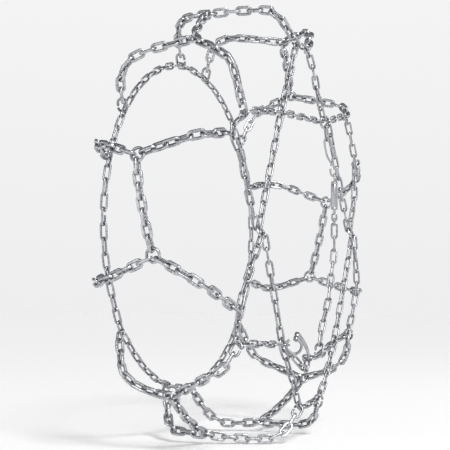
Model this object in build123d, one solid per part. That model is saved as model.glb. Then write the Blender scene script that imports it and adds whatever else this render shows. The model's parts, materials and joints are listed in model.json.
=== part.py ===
from build123d import *
import math
import os

# Twin-cross snow chain for a 315/80R22.5 truck tyre, in its fitted shape.
# Frame: wheel centre at the origin, +Z up, +Y the wheel's axis, the outer (lever) side at -Y.
# All sizes in millimetres.

# tread chain: square-section links
TREAD_WIRE = 7.0
TREAD_WIDTH = 24.5
TREAD_LENGTH = 45.0
TREAD_CORNER = 2.2
# side, tension, lock and tail chain: round wire links
SIDE_WIRE = 5.4
SIDE_WIDTH = 20.0
SIDE_LENGTH = 47.2
# short swivel link under the tensioner
SMALL_WIRE = 5.0
SMALL_WIDTH = 17.5
SMALL_LENGTH = 24.0
# open side hooks
HOOK_WIRE = 6.4
HOOK_WIDTH = 27.0
HOOK_LENGTH = 41.0
HOOK_MOUTH = 7.0
# welded rings
RING_RADIUS = 16.0
RING_WIRE = 7.0
# inner side chain closing hook
CLOSING_MOUTH = 8.0

# spring tensioner: an upright tube with a pull rod through its lower cap
TUBE_X, TUBE_Y = 201.0, -178.0
TUBE_BOTTOM, TUBE_TOP = 52.0, 127.0
TUBE_RADIUS = 9.4
BORE_RADIUS = 7.5
BORE_TOP = 122.0
TUBE_EYE_Z = 137.0
TUBE_EYE = (5.0, 18.0, 26.0)
ROD_EYE_Z = 29.5
ROD_EYE = (5.0, 17.0, 24.0)
ROD_RADIUS = 4.0
ROD_FIT = 0.06
PISTON_RADIUS = 7.2
PISTON_LOW, PISTON_HIGH = 114.0, 120.0
CAP_RADIUS, CAP_FLANGE = 7.5, 9.0
CAP_LOW, CAP_HIGH = 50.4, 57.0
SPRING_RADIUS, SPRING_WIRE = 5.8, 2.0
SPRING_LOW, SPRING_HIGH, SPRING_TURNS = 58.2, 112.8, 9

# wire hook over the tensioner, a twisted figure of eight
FIG_WIRE = 5.6
FIG_FOOT = (201.0, -178.0, 141.6)
FIG_DIR = (-0.3576, 0.0714, 0.9312)
FIG_NORMAL = (0.8944, 0.313, 0.3195)
FIG_LENGTH = 107.13

# closing lever, its pin and the round shackle it sits in
PIVOT = (-78.375, -182.0, -282.0)
LEVER_DIR = (0.7777, 0.0, -0.6286)
PIN_DIR = (0.6286, 0.0, 0.7777)
LEVER_WIDTH = 13.0
KNUCKLE_RADIUS = 7.0
PIN_RADIUS = 3.0
PIN_FIT = 0.06
CLAW_REACH = 94.0
CLAW_RADIUS = 2.6
CLAW_LENGTH = 14.4
CLAW_END = 12.0
SHACKLE_CENTRE = (-87.637, -176.806, -308.681)
SHACKLE_ACROSS = (0.4118, -0.9113, 0.0)
SHACKLE_RADIUS = 19.0
SHACKLE_WIRE = 7.0
SHACKLE_START, SHACKLE_END = 72.0, -238.0
BOSS_OFFSET = 11.0
BOSS_RADIUS = 7.5
BOSS_HALF = 3.8

# Every link, ring and hook: centre x, y, z, long direction x, y, z, and flat-side normal x, y, z.
PLACES = [
    ("center_chain_1", "tread", [
        (-545.98, -21.35, -71.62, -0.131, 0.2181, 0.9671, 0.0243, 0.9759, -0.2168),
        (-548.84, -14.98, -42.95, -0.0782, 0.2134, 0.9738, -0.9969, -0.006, -0.0787),
        (-550.6, -8.68, -14.17, -0.0262, 0.2148, 0.9763, 0.0035, -0.9766, 0.2149),
        (-550.43, -2.31, 14.65, 0.0237, 0.2174, 0.9758, 0.9996, 0.0089, -0.0263),
        (-549.13, 4.08, 43.43, 0.0796, 0.216, 0.9732, -0.0132, 0.9764, -0.2156),
        (-545.83, 10.35, 72.08, 0.1301, 0.2072, 0.9696, -0.9913, 0.0062, 0.1317),
        (-541.4, 15.17, 100.84, 0.1829, 0.1378, 0.9734, 0.0139, -0.9904, 0.1376),
    ]),
    ("center_chain_2", "tread", [
        (-335.73, -21.61, 436.47, 0.7694, 0.2258, 0.5975, -0.1815, 0.9742, -0.1344),
        (-312.4, -15.02, 453.3, 0.8021, 0.2204, 0.555, -0.568, -0.0056, 0.823),
        (-288.43, -8.51, 469.23, 0.8299, 0.222, 0.5118, 0.1936, -0.975, 0.109),
        (-263.45, -1.93, 483.5, 0.8547, 0.2246, 0.4679, 0.4783, 0.0091, -0.8781),
        (-237.94, 4.71, 496.79, 0.8798, 0.225, 0.4188, -0.2014, 0.9744, -0.1002),
        (-211.57, 11.29, 508.28, 0.9011, 0.2213, 0.3729, -0.3832, 0.0037, 0.9237),
        (-184.84, 18.15, 518.74, 0.9161, 0.2394, 0.3215, 0.225, -0.9709, 0.0818),
    ]),
    ("center_chain_3", "tread", [
        (208.71, -22.65, 509.55, 0.8979, 0.2518, -0.3612, -0.2326, 0.9678, 0.0964),
        (234.89, -15.61, 497.89, 0.8835, 0.2164, -0.4155, 0.4266, -0.0051, 0.9044),
        (260.74, -9.26, 485.15, 0.8615, 0.2153, -0.4599, 0.1855, -0.9765, -0.1097),
        (285.68, -2.88, 470.71, 0.8353, 0.2172, -0.5051, -0.5191, 0.009, -0.8546),
        (310.04, 3.54, 455.31, 0.8062, 0.2177, -0.5501, -0.1814, 0.976, 0.1204),
        (333.26, 9.92, 438.25, 0.7757, 0.2141, -0.5937, 0.6071, 0.0041, 0.7946),
        (355.85, 16.1, 420.29, 0.7455, 0.207, -0.6335, 0.1595, -0.9783, -0.1321),
    ]),
    ("center_chain_4", "tread", [
        (545.75, -21.83, 73.33, 0.1368, 0.2249, -0.9647, -0.0268, 0.9744, 0.2233),
        (548.71, -15.35, 44.69, 0.0799, 0.2126, -0.9739, 0.9967, -0.0057, 0.0805),
        (550.55, -9.06, 15.92, 0.0308, 0.2143, -0.9763, -0.003, -0.9767, -0.2145),
        (550.47, -2.7, -12.9, -0.0212, 0.2175, -0.9758, -0.9997, 0.0098, 0.0239),
        (549.27, 3.73, -41.68, -0.0749, 0.2181, -0.973, 0.0128, 0.9759, 0.2178),
        (546.07, 10.1, -70.32, -0.127, 0.2135, -0.9687, 0.9916, 0.0042, -0.1291),
        (541.76, 16.48, -98.81, -0.1799, 0.2186, -0.9591, -0.0385, -0.9758, -0.2152),
    ]),
    ("center_chain_5", "tread", [
        (335.37, -21.31, -436.74, -0.7726, 0.2107, -0.5989, 0.1698, 0.9775, 0.1248),
        (311.97, -15.08, -453.6, -0.8039, 0.2136, -0.555, 0.567, -0.0059, -0.8237),
        (287.94, -8.77, -469.53, -0.832, 0.2147, -0.5116, -0.1878, -0.9766, -0.1044),
        (262.9, -2.41, -483.8, -0.8565, 0.2176, -0.4681, -0.4777, 0.0096, 0.8785),
        (237.34, 4.03, -497.09, -0.8817, 0.2181, -0.4183, 0.1952, 0.9759, 0.0975),
        (210.92, 10.4, -508.58, -0.9027, 0.2142, -0.3732, 0.3828, 0.0036, -0.9238),
        (184.12, 17.03, -519.01, -0.9193, 0.2317, -0.3182, -0.2187, -0.9728, -0.0765),
    ]),
    ("center_chain_6", "tread", [
        (-179.68, 26.19, -520.45, -0.9449, -0.0044, 0.3273, -0.0001, 0.9999, 0.0131),
        (-207.25, 25.87, -509.87, -0.9265, -0.0214, 0.3757, -0.376, 0.0112, -0.9266),
        (-234.38, 25.24, -498.23, -0.9042, -0.0216, 0.4266, 0.0147, -0.9997, -0.0194),
        (-260.65, 24.6, -484.75, -0.8809, -0.0218, 0.4728, 0.4731, -0.0117, 0.8809),
        (-286.39, 23.94, -470.28, -0.8536, -0.0232, 0.5204, -0.0135, 0.9997, 0.0223),
        (-311.07, 23.2, -454.06, -0.8248, -0.0276, 0.5647, -0.5651, 0.0127, -0.8249),
        (-335.1, 21.81, -436.93, -0.7927, -0.0582, 0.6068, 0.0371, -0.9982, -0.0473),
    ]),
    ("outer_side_chain_1", "side", [
        (-291.21, -161.38, -14.22, -0.5822, -0.0246, 0.8126, -0.7689, -0.3081, -0.5602),
        (-311.06, -162.19, 13.49, -0.5823, -0.0234, 0.8127, 0.2643, -0.9507, 0.162),
        (-331.09, -162.94, 41.43, -0.5828, -0.0197, 0.8124, 0.7907, 0.2168, 0.5725),
        (-351.6, -164.56, 70.11, -0.5799, -0.0653, 0.8121, -0.1367, 0.9904, -0.0179),
        (-372.07, -167.23, 98.74, -0.5786, -0.0893, 0.8107, -0.8129, -0.0172, -0.5821),
        (-392.47, -168.26, 127.48, -0.5791, 0.0137, 0.8151, -0.0816, -0.9958, -0.0412),
        (-414.59, -166.65, 154.86, -0.6601, 0.0813, 0.7467, 0.7314, -0.157, 0.6637),
        (-426.13, -164.03, 184.35, 0.2043, 0.0303, 0.9784, -0.1497, -0.9868, 0.0618),
        (-405.37, -165.44, 209.65, 0.8255, -0.0738, 0.5595, -0.5446, 0.1556, 0.8241),
        (-375.59, -167.74, 228.42, 0.867, -0.0554, 0.4952, -0.0962, -0.9937, 0.0572),
        (-342.79, -169.03, 240.53, 0.9718, 0.0073, 0.2358, -0.2353, 0.1038, 0.9664),
        (-309.12, -168.73, 246.43, 0.9926, 0.0096, 0.1207, 0.0376, -0.9719, -0.2323),
        (-276.54, -168.33, 250.52, 0.9915, 0.0154, 0.1289, 0.1001, 0.5415, -0.8347),
        (-244.02, -167.88, 254.74, 0.9916, 0.0118, 0.1287, -0.1081, 0.621, 0.7763),
        (-211.5, -167.5, 258.96, 0.9916, 0.0113, 0.1287, -0.0337, -0.9392, 0.3418),
        (-178.93, -167.13, 263.19, 0.9916, 0.0111, 0.1287, 0.1287, -0, -0.9917),
    ]),
    ("outer_side_chain_2", "side", [
        (-140.18, -166.99, 290.18, 0.4522, 0.0007, 0.8919, -0.8919, -0, 0.4522),
        (-125.68, -166.91, 318.78, 0.4522, 0.0036, 0.8919, -0.3167, -0.9342, 0.1643),
        (-111.18, -167.02, 347.38, 0.4522, -0.0045, 0.8919, 0.6807, -0.6445, -0.3484),
        (-96.7, -168.07, 375.94, 0.4516, -0.0591, 0.8902, 0.785, 0.5006, -0.365),
        (-82.27, -168.59, 404.53, 0.4496, 0.0055, 0.8932, -0.1595, 0.9844, 0.0742),
        (-67.11, -168.02, 431.86, 0.5422, 0.0443, 0.8391, -0.832, 0.1675, 0.5288),
        (-43.68, -165.23, 453.46, 0.8977, 0.0646, 0.4357, -0.0168, -0.9834, 0.1805),
        (-9.91, -164.72, 458.08, 0.9963, -0.0063, -0.0854, 0.0851, 0.1776, 0.9804),
        (23.85, -165.43, 450.89, 0.899, -0.0533, -0.4348, 0.0225, -0.9856, 0.1673),
        (46.23, -168.53, 428.08, 0.5851, -0.0438, -0.8098, 0.8071, 0.1283, 0.5763),
        (64.95, -168.82, 403.21, 0.6102, 0.0105, -0.7922, 0.2765, -0.9399, 0.2006),
        (83.84, -167.93, 378.71, 0.6092, 0.0622, -0.7906, -0.6502, -0.5316, -0.5429),
        (102.75, -166.33, 354.23, 0.6119, 0.0407, -0.7899, -0.5741, 0.7099, -0.4081),
        (121.69, -165.25, 329.74, 0.6115, 0.0277, -0.7907, 0.4172, 0.8378, 0.3521),
        (140.53, -164.75, 305.16, 0.6064, 0.0082, -0.7951, 0.75, -0.338, 0.5685),
    ]),
    ("outer_side_chain_3", "side", [
        (178.94, -173.7, 291.84, 0.9777, 0.0519, 0.2034, -0.2079, 0.1055, 0.9724),
        (210.56, -171.89, 299.12, 0.9702, 0.0577, 0.2354, 0.0269, -0.9909, 0.1319),
        (242.04, -170.49, 306.77, 0.9711, 0.0353, 0.2362, 0.2388, -0.1356, -0.9615),
        (273.52, -168.99, 314.42, 0.9709, 0.0414, 0.236, -0.0027, 0.9868, -0.1616),
        (304.46, -167.31, 320.91, 0.9875, 0.0693, 0.1413, -0.1512, 0.1685, 0.974),
        (335.64, -164.09, 316.93, 0.8982, 0.0673, -0.4345, 0.1399, -0.9806, 0.1372),
        (360.31, -163.34, 294.78, 0.5679, -0.0123, -0.823, 0.807, 0.2051, 0.5538),
        (378.41, -163.93, 265.22, 0.5002, -0.0178, -0.8657, 0.1596, -0.9808, 0.1124),
        (395.63, -164.46, 234.95, 0.4818, -0.0124, -0.8762, -0.8622, -0.1848, -0.4716),
        (407.98, -164.88, 202.77, 0.1958, -0.054, -0.9792, 0.1717, -0.9812, 0.0884),
        (407.69, -167.34, 171.51, -0.1719, -0.0572, -0.9834, 0.9699, 0.1651, -0.1792),
        (401.11, -168.71, 140.89, -0.2294, -0.0366, -0.9727, 0.4069, -0.9114, -0.0617),
        (393.76, -169.28, 110.17, -0.2376, 0.0035, -0.9714, -0.7563, -0.6282, 0.1827),
        (386.23, -168.77, 79.49, -0.2388, 0.0289, -0.9706, -0.769, 0.6048, 0.2071),
        (379, -166.52, 48.85, -0.2222, 0.1041, -0.9694, 0.388, 0.9216, 0.0101),
        (371.5, -163.18, 18.5, -0.249, 0.0755, -0.9655, 0.9628, -0.0885, -0.2552),
    ]),
    ("outer_side_chain_4", "side", [
        (377.7, -173.74, -31.87, 0.3676, 0.0439, -0.9289, 0.8831, 0.2968, 0.3635),
        (390.37, -171.76, -64.12, 0.3576, 0.0483, -0.9326, 0.6233, -0.756, 0.1998),
        (402.97, -169.95, -96.09, 0.3573, 0.0539, -0.9324, -0.352, -0.9169, -0.1879),
        (414.76, -168.18, -128.43, 0.3228, 0.0607, -0.9445, -0.9449, -0.0368, -0.3253),
        (419.36, -166.24, -162.43, -0.1399, 0.0341, -0.9896, 0.149, -0.9873, -0.0551),
        (407.4, -166, -195.1, -0.4771, -0.001, -0.8788, 0.8667, 0.1654, -0.4707),
        (388.98, -166.33, -225.15, -0.5783, -0.015, -0.8157, 0.1305, -0.9887, -0.0744),
        (368.12, -166.75, -253.6, -0.6028, -0.0148, -0.7977, -0.7894, -0.1346, 0.599),
        (343.55, -167.49, -277.9, -0.8124, -0.0372, -0.582, 0.1026, -0.9915, -0.0797),
        (314.1, -168.7, -291.16, -0.9694, -0.0331, -0.2431, 0.2373, 0.1252, -0.9633),
        (282.32, -169.4, -297.41, -0.9859, -0.0076, -0.1672, 0.0182, -0.9979, -0.0619),
        (250.03, -169.87, -302.89, -0.9857, -0.0161, -0.1677, -0.1677, -0, 0.9858),
    ]),
    ("outer_side_chain_5", "side", [
        (209.79, -169.8, -327.77, -0.5772, 0.0248, -0.8162, 0.8164, -0.0009, -0.5774),
        (192.71, -169.5, -352.56, -0.561, 0.0019, -0.8278, 0.0385, -0.9989, -0.0284),
        (175.84, -169.11, -377.52, -0.5592, 0.009, -0.829, -0.8262, -0.0881, 0.5564),
        (158.95, -168.15, -402.44, -0.5605, 0.0541, -0.8264, -0.0819, 0.9894, 0.1202),
        (141.54, -166.44, -426.36, -0.6337, 0.0651, -0.7708, 0.7675, 0.1773, -0.616),
        (118.91, -164.17, -445.7, -0.8847, 0.0422, -0.4642, 0.0526, -0.9805, -0.1893),
        (86.61, -163.49, -456.69, -0.9846, 0.004, -0.1748, 0.172, 0.2018, -0.9642),
        (52.14, -163.38, -461.79, -0.9911, 0.0042, -0.1327, 0.0223, -0.98, -0.1976),
        (17.6, -163.24, -465.7, -0.9976, 0.001, -0.0691, -0.0679, -0.2044, 0.9765),
        (-15.71, -164.22, -460.96, -0.9244, -0.0683, 0.3753, -0.0069, -0.9807, -0.1954),
        (-42.05, -167.15, -440.63, -0.6277, -0.0783, 0.7745, -0.7741, 0.1681, -0.6103),
        (-62.34, -168.74, -412.63, -0.565, -0.018, 0.8249, -0.0952, -0.9917, -0.0869),
        (-82.03, -168.46, -384.03, -0.5669, 0.0401, 0.8228, 0.8189, -0.0819, 0.5681),
        (-101.76, -167.3, -355.07, -0.5595, 0.0356, 0.8281, 0.0491, 0.9987, -0.0097),
        (-123.16, -166.39, -327.31, -0.664, 0.0157, 0.7475, -0.7471, 0.0265, -0.6642),
    ]),
    ("outer_side_chain_6", "side", [
        (-167.65, -166.72, -301.92, -0.9985, 0.0055, 0.0538, -0.0531, 0.0859, -0.9949),
        (-202.85, -166.99, -300.16, -0.9991, -0.0111, 0.0417, -0.0052, -0.9283, -0.3718),
        (-237.99, -167.76, -298.44, -0.9985, -0.0377, 0.0406, 0.0554, -0.6504, 0.7576),
        (-273.11, -168.51, -296.88, -0.9989, -0.0154, 0.0437, 0.03, 0.5023, 0.8642),
        (-308.25, -167.56, -295.69, -0.9975, 0.0554, 0.044, 0.0457, 0.9791, -0.1981),
        (-343.3, -164.67, -296.11, -0.9903, 0.1307, -0.0466, 0.0595, 0.0966, -0.9935),
        (-376.42, -160.66, -290.44, -0.8566, 0.0663, 0.5118, -0.1623, -0.976, -0.1452),
        (-390.88, -162.14, -262.04, -0.136, -0.095, 0.9861, -0.9732, 0.1991, -0.115),
        (-392.97, -165.37, -227.06, 0.0422, -0.0926, 0.9948, -0.1438, -0.9859, -0.0857),
        (-384.23, -168.12, -193.51, 0.394, -0.032, 0.9186, -0.9088, 0.1355, 0.3945),
        (-367.48, -169.26, -162.82, 0.5979, -0.0307, 0.801, 0.0806, -0.9919, -0.0983),
        (-346.82, -170.21, -134.55, 0.5789, -0.0248, 0.815, 0.7461, 0.4195, -0.5171),
        (-327.96, -171.03, -107.96, 0.5783, -0.0253, 0.8154, -0.5239, 0.7547, 0.395),
        (-309.1, -171.85, -81.37, 0.5783, -0.0253, 0.8154, -0.4402, -0.8512, 0.2858),
        (-290.24, -172.68, -54.79, 0.5783, -0.0253, 0.8154, 0.7719, -0.3064, -0.557),
    ]),
    ("outer_cross_arms_1", "tread", [
        (-534, -7.32, 135.01, 0.0805, -0.9509, 0.2988, 0.3204, 0.3086, 0.8956),
        (-531.22, -35.41, 143.4, 0.0987, -0.9582, 0.2685, -0.8916, 0.0347, 0.4515),
        (-527.89, -63.52, 151.21, 0.136, -0.9579, 0.2527, -0.582, -0.2837, -0.7621),
        (-523.68, -91.53, 158.55, 0.1481, -0.9563, 0.2521, 0.6738, -0.089, -0.7335),
        (-515.62, -118.18, 166.61, 0.3876, -0.8974, 0.2109, 0.8057, 0.4409, 0.3955),
        (-498.08, -139.83, 169.12, 0.8555, -0.4961, 0.1483, -0.3769, -0.4002, 0.8354),
        (-471.6, -151.48, 174.3, 0.9333, -0.3241, 0.1546, -0.2295, -0.8696, -0.4372),
        (-538.75, -48.65, -111.84, 0.112, -0.8707, -0.4789, -0.1561, -0.4914, 0.8568),
        (-534.97, -73.54, -125.37, 0.1115, -0.8768, -0.4677, -0.9719, 0.002, -0.2354),
        (-529.92, -97.02, -139.01, 0.2523, -0.8269, -0.5025, 0.2454, 0.557, -0.7934),
        (-519.49, -119.88, -153.14, 0.4024, -0.7471, -0.5291, 0.9073, 0.2481, 0.3396),
        (-505.03, -138.67, -167.05, 0.7614, -0.4837, -0.4315, 0.134, -0.5338, 0.8349),
        (-481.26, -147.85, -178.67, 0.8617, -0.2569, -0.4376, -0.4244, -0.8376, -0.3439),
        (-456.93, -154.77, -191.1, 0.8802, -0.2114, -0.4249, -0.2883, 0.473, -0.8326),
        (-432.22, -159.94, -202.72, 0.9019, -0.145, -0.4068, 0.3111, 0.8715, 0.3791),
    ]),
    ("outer_cross_arms_2", "tread", [
        (-149.87, 0.53, 530.13, 0.354, -0.9281, 0.1155, 0.8912, 0.3722, 0.2592),
        (-139.48, -26.96, 532.83, 0.345, -0.9353, 0.0784, -0.3009, -0.0311, 0.9531),
        (-131.15, -55.19, 534.1, 0.2504, -0.9681, 0.0101, -0.9108, -0.239, -0.3367),
        (-125.42, -83.95, 533.58, 0.1118, -0.9929, -0.0394, 0.3712, 0.0785, -0.9252),
        (-121.67, -112.75, 531.9, 0.1505, -0.9795, -0.1339, 0.8895, 0.0751, 0.4507),
        (-112, -135.06, 518.82, 0.4869, -0.6694, -0.5611, -0.4026, -0.7421, 0.5359),
        (-95.93, -150.02, 501.17, 0.6631, -0.2688, -0.6986, -0.7118, 0.0623, -0.6996),
        (-75.57, -157.14, 481.77, 0.74, -0.214, -0.6377, 0.2534, 0.9669, -0.0305),
        (-367.73, -48.45, 409.34, -0.4027, -0.8352, -0.3746, 0.6356, -0.5496, 0.5422),
        (-378.98, -72.88, 398.04, -0.3882, -0.8423, -0.374, -0.693, -0.0007, 0.721),
        (-388.83, -96.56, 386.04, -0.3001, -0.8293, -0.4715, -0.5646, 0.5528, -0.613),
        (-394.14, -120.44, 370.25, -0.139, -0.8088, -0.5714, 0.7522, 0.2891, -0.5922),
        (-395.25, -140.7, 351.67, 0.1564, -0.4988, -0.8525, 0.8154, -0.4219, 0.3964),
        (-390.56, -150.34, 325.48, 0.0934, -0.2516, -0.9633, -0.4794, -0.8594, 0.178),
        (-387.79, -157.1, 298.1, 0.1217, -0.1838, -0.9754, -0.8823, 0.4302, -0.1911),
        (-383.1, -161.91, 270.87, 0.2073, -0.1644, -0.9644, 0.4416, 0.8953, -0.0577),
    ]),
    ("outer_cross_arms_3", "tread", [
        (382.89, -2.32, 396.15, 0.2238, -0.9549, -0.1953, 0.6798, 0.2965, -0.6708),
        (389, -30.4, 390.14, 0.1951, -0.9602, -0.2001, 0.805, 0.0403, 0.5919),
        (394.22, -58.64, 384.2, 0.148, -0.9661, -0.2117, -0.4146, -0.2549, 0.8735),
        (397.17, -86.97, 377.45, 0.0739, -0.9698, -0.2325, -0.9672, -0.0129, -0.2537),
        (398.22, -114.73, 369.24, -0.0544, -0.9498, -0.3082, -0.0088, 0.3091, -0.951),
        (387.73, -138.37, 357.91, -0.5026, -0.6596, -0.5589, 0.8288, -0.5515, -0.0945),
        (370.14, -152.74, 341.17, -0.8267, -0.2805, -0.4877, -0.1411, -0.7358, 0.6624),
        (171.83, -53.15, 522.44, -0.4713, -0.8724, 0.1297, 0.7865, -0.4822, -0.3859),
        (157.7, -78.75, 525.51, -0.484, -0.8707, 0.0878, 0.4938, -0.189, 0.8488),
        (142.76, -103.66, 527.31, -0.564, -0.8257, 0.0086, -0.5864, 0.4079, 0.6998),
        (123.93, -125.06, 523.69, -0.6927, -0.6921, -0.2028, -0.5439, 0.686, -0.4832),
        (104.52, -141.95, 513.13, -0.7888, -0.3798, -0.4833, 0.4386, 0.2029, -0.8755),
        (81.4, -150.96, 498.26, -0.7836, -0.2525, -0.5677, 0.4608, -0.8491, -0.2583),
        (59.17, -157.61, 480.66, -0.7605, -0.2093, -0.6146, -0.3542, -0.6596, 0.6629),
    ]),
    ("outer_cross_arms_4", "tread", [
        (534.42, -1.02, -133.67, -0.0643, -0.9576, -0.2807, -0.223, 0.2879, -0.9313),
        (532.33, -27.54, -141.35, -0.0486, -0.9577, -0.2837, 0.9794, 0.0101, -0.2019),
        (530.09, -54.02, -149.03, -0.1006, -0.9565, -0.2739, 0.1607, -0.2873, 0.9443),
        (526.1, -80.31, -156.49, -0.1653, -0.9502, -0.2642, -0.9791, 0.126, 0.1596),
        (521.49, -106.74, -163.8, -0.2273, -0.9473, -0.2256, -0.0403, 0.2406, -0.9698),
        (506.18, -129.47, -167.9, -0.6722, -0.7327, -0.1064, 0.7389, -0.6729, -0.0342),
        (484.73, -147.9, -169.11, -0.8992, -0.4371, -0.0176, -0.0759, 0.1164, 0.9903),
        (459.16, -156.87, -168.55, -0.9672, -0.2427, 0.0755, -0.2532, 0.9462, -0.2017),
        (538.65, -51.52, 111.72, -0.111, -0.8877, 0.4468, 0.1082, -0.4577, -0.8825),
        (534.62, -77.56, 124.75, -0.1525, -0.8844, 0.441, 0.9873, -0.1562, 0.0281),
        (528.83, -102.22, 138.96, -0.2858, -0.8043, 0.521, 0.2794, 0.4501, 0.8481),
        (517.02, -122.61, 154.7, -0.4612, -0.6527, 0.601, -0.6808, 0.6947, 0.2322),
        (500.53, -139.06, 168.89, -0.7247, -0.4222, 0.5446, -0.6473, 0.1461, -0.7481),
        (477.83, -148.99, 183.31, -0.8813, -0.2558, 0.3973, 0.0047, -0.8455, -0.5339),
        (451.33, -155.77, 193.04, -0.929, -0.2351, 0.2858, 0.3673, -0.6801, 0.6345),
    ]),
    ("outer_cross_arms_5", "tread", [
        (155.62, -2.4, -528.5, -0.1067, -0.9932, -0.0459, -0.952, 0.1154, -0.2836),
        (152.4, -30.84, -529.47, -0.105, -0.9934, -0.0469, 0.1147, 0.0348, -0.9928),
        (149.38, -59.1, -529.73, -0.1058, -0.9941, 0.022, 0.9919, -0.1071, -0.068),
        (146.79, -87.85, -528.04, -0.0895, -0.9915, 0.0943, 0.2721, 0.0667, 0.96),
        (142.79, -115.64, -523.47, -0.131, -0.955, 0.2662, -0.8243, 0.2541, 0.5059),
        (139.26, -139.28, -508.34, -0.2515, -0.6451, 0.7216, -0.5213, -0.5378, -0.6625),
        (130.66, -152.86, -485, -0.2215, -0.2998, 0.9279, 0.5713, -0.8111, -0.1256),
        (364.89, -49.71, -411.76, 0.2963, -0.9112, 0.2862, -0.6962, -0.4112, -0.5884),
        (372.84, -74.81, -403.46, 0.2973, -0.9107, 0.2866, 0.5273, -0.0937, -0.8445),
        (380.46, -99.36, -393.88, 0.2509, -0.8684, 0.4277, 0.8784, 0.3899, 0.2763),
        (385.32, -121.65, -378.24, 0.1307, -0.7639, 0.6319, -0.117, 0.6211, 0.775),
        (383.3, -140.24, -359.51, -0.1167, -0.513, 0.8504, -0.9341, 0.3475, 0.0815),
        (377.24, -151.84, -335.04, -0.3986, -0.2954, 0.8683, -0.5066, -0.7183, -0.4769),
        (364.58, -158.89, -312.03, -0.5062, -0.2258, 0.8324, 0.5701, -0.8117, 0.1265),
    ]),
    ("outer_cross_arms_6", "tread", [
        (-366.93, -2.72, -410.8, -0.4037, -0.8387, 0.3654, -0.5537, 0.542, 0.6322),
        (-378.29, -27.53, -399.56, -0.3733, -0.8425, 0.3883, -0.8017, 0.0823, -0.592),
        (-388.91, -52.57, -388.22, -0.3438, -0.8548, 0.3886, 0.3504, -0.5008, -0.7915),
        (-397.87, -78.06, -376.48, -0.2785, -0.8765, 0.3927, 0.9333, -0.1504, 0.3261),
        (-405.12, -104.38, -365.29, -0.1918, -0.9047, 0.3804, -0.1435, 0.4093, 0.9011),
        (-403.96, -129.29, -351.03, 0.1327, -0.7663, 0.6286, -0.9258, -0.3223, -0.1975),
        (-398.11, -145.87, -328.57, 0.4156, -0.3833, 0.8248, 0.2565, -0.8206, -0.5106),
        (-140.71, 3.97, -532.58, 0.4509, -0.8825, -0.1335, -0.8537, -0.4701, 0.2242),
        (-127.6, -22.28, -535.72, 0.4214, -0.9026, -0.0884, -0.2093, -0.002, -0.9778),
        (-115.28, -48.98, -538.26, 0.4164, -0.9051, -0.0856, 0.895, 0.4247, -0.1365),
        (-102.74, -75.65, -539.6, 0.429, -0.903, -0.026, 0.0835, 0.011, 0.9965),
        (-89.53, -102.02, -539.74, 0.4567, -0.8887, 0.0409, -0.8896, -0.4561, 0.0236),
        (-75.83, -126.22, -531.69, 0.5084, -0.7672, 0.3912, 0.0415, -0.4319, -0.901),
        (-59.49, -144.82, -517.46, 0.5905, -0.4267, 0.685, 0.7955, 0.4508, -0.4048),
        (-41.87, -154.24, -495.94, 0.626, -0.2399, 0.742, -0.2181, 0.8597, 0.4619),
    ]),
    ("outer_side_hooks", "hook", [
        (-444.68, -159.83, 177.3, 0.9687, -0.2339, 0.0828, 0.1551, 0.3104, -0.9379),
        (-408.91, -164.48, -213.58, 0.8948, -0.1502, -0.4204, 0.307, -0.4769, 0.8236),
        (-54.72, -162.85, 464.39, 0.7771, -0.1719, -0.6054, 0.5704, -0.214, 0.793),
        (-377.56, -166.48, 245.56, 0.2376, -0.137, -0.9617, 0.8646, -0.4214, 0.2736),
        (346.64, -160.73, 327.53, -0.8352, -0.2526, -0.4886, -0.5483, 0.4512, 0.7041),
        (38.21, -163.61, 462.66, -0.7195, -0.1828, -0.67, -0.6516, 0.5116, 0.5601),
        (434.99, -163.56, -166.93, -0.9657, -0.2524, 0.0616, 0.0093, -0.2705, -0.9627),
        (424.93, -162.41, 200.79, -0.9464, -0.2033, 0.2511, 0.1212, 0.4971, 0.8592),
        (124.79, -160.9, -460.26, -0.2445, -0.256, 0.9353, 0.8824, 0.3411, 0.324),
        (352.41, -165.35, -291.4, -0.5034, -0.2157, 0.8367, 0.7487, 0.3745, 0.547),
        (-385.32, -155.94, -305.3, 0.4679, -0.2935, 0.8336, 0.8693, 0.323, -0.3742),
        (-24.32, -161.19, -474.77, 0.606, -0.218, 0.765, -0.757, -0.4536, 0.4704),
    ]),
    ("inner_cross_arms_1", "tread", [
        (-533.97, 43.67, 133.56, 0.0801, 0.9529, 0.2924, -0.2205, 0.303, -0.9271),
        (-530.25, 71.53, 142.03, 0.1575, 0.9425, 0.2947, -0.9153, 0.0273, 0.4018),
        (-525.43, 98.81, 151.12, 0.1756, 0.934, 0.3113, 0.5554, -0.355, 0.752),
        (-514.72, 124.03, 157.09, 0.495, 0.8531, 0.165, 0.6764, -0.2591, -0.6895),
        (-496.3, 143.41, 160.2, 0.8533, 0.5127, -0.0952, -0.4371, 0.6037, -0.6667),
        (-471.58, 154.07, 155.56, 0.9426, 0.2728, -0.1925, -0.0013, 0.5795, 0.815),
        (-445.09, 160.82, 149.53, 0.9509, 0.1916, -0.243, 0.2801, -0.8668, 0.4125),
        (-539.83, -4.53, -109.56, 0.0625, 0.9274, -0.3687, 0.1734, -0.3739, -0.9111),
        (-537.19, 21.38, -119.68, 0.0808, 0.9267, -0.3671, -0.9955, 0.0566, -0.0762),
        (-534.96, 47.19, -130.15, 0.0888, 0.9218, -0.3773, 0.075, 0.3715, 0.9254),
        (-531.7, 72.92, -140.46, 0.1265, 0.9196, -0.3718, 0.9721, -0.1895, -0.138),
        (-526.69, 98.94, -148.8, 0.2484, 0.9335, -0.2585, -0.3001, -0.1796, -0.9369),
        (-515.91, 123.52, -155.79, 0.5242, 0.8407, -0.1358, -0.7902, 0.5396, 0.2905),
        (-496.76, 143.19, -154.78, 0.8663, 0.4995, 0.0085, 0.3065, -0.545, 0.7804),
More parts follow.
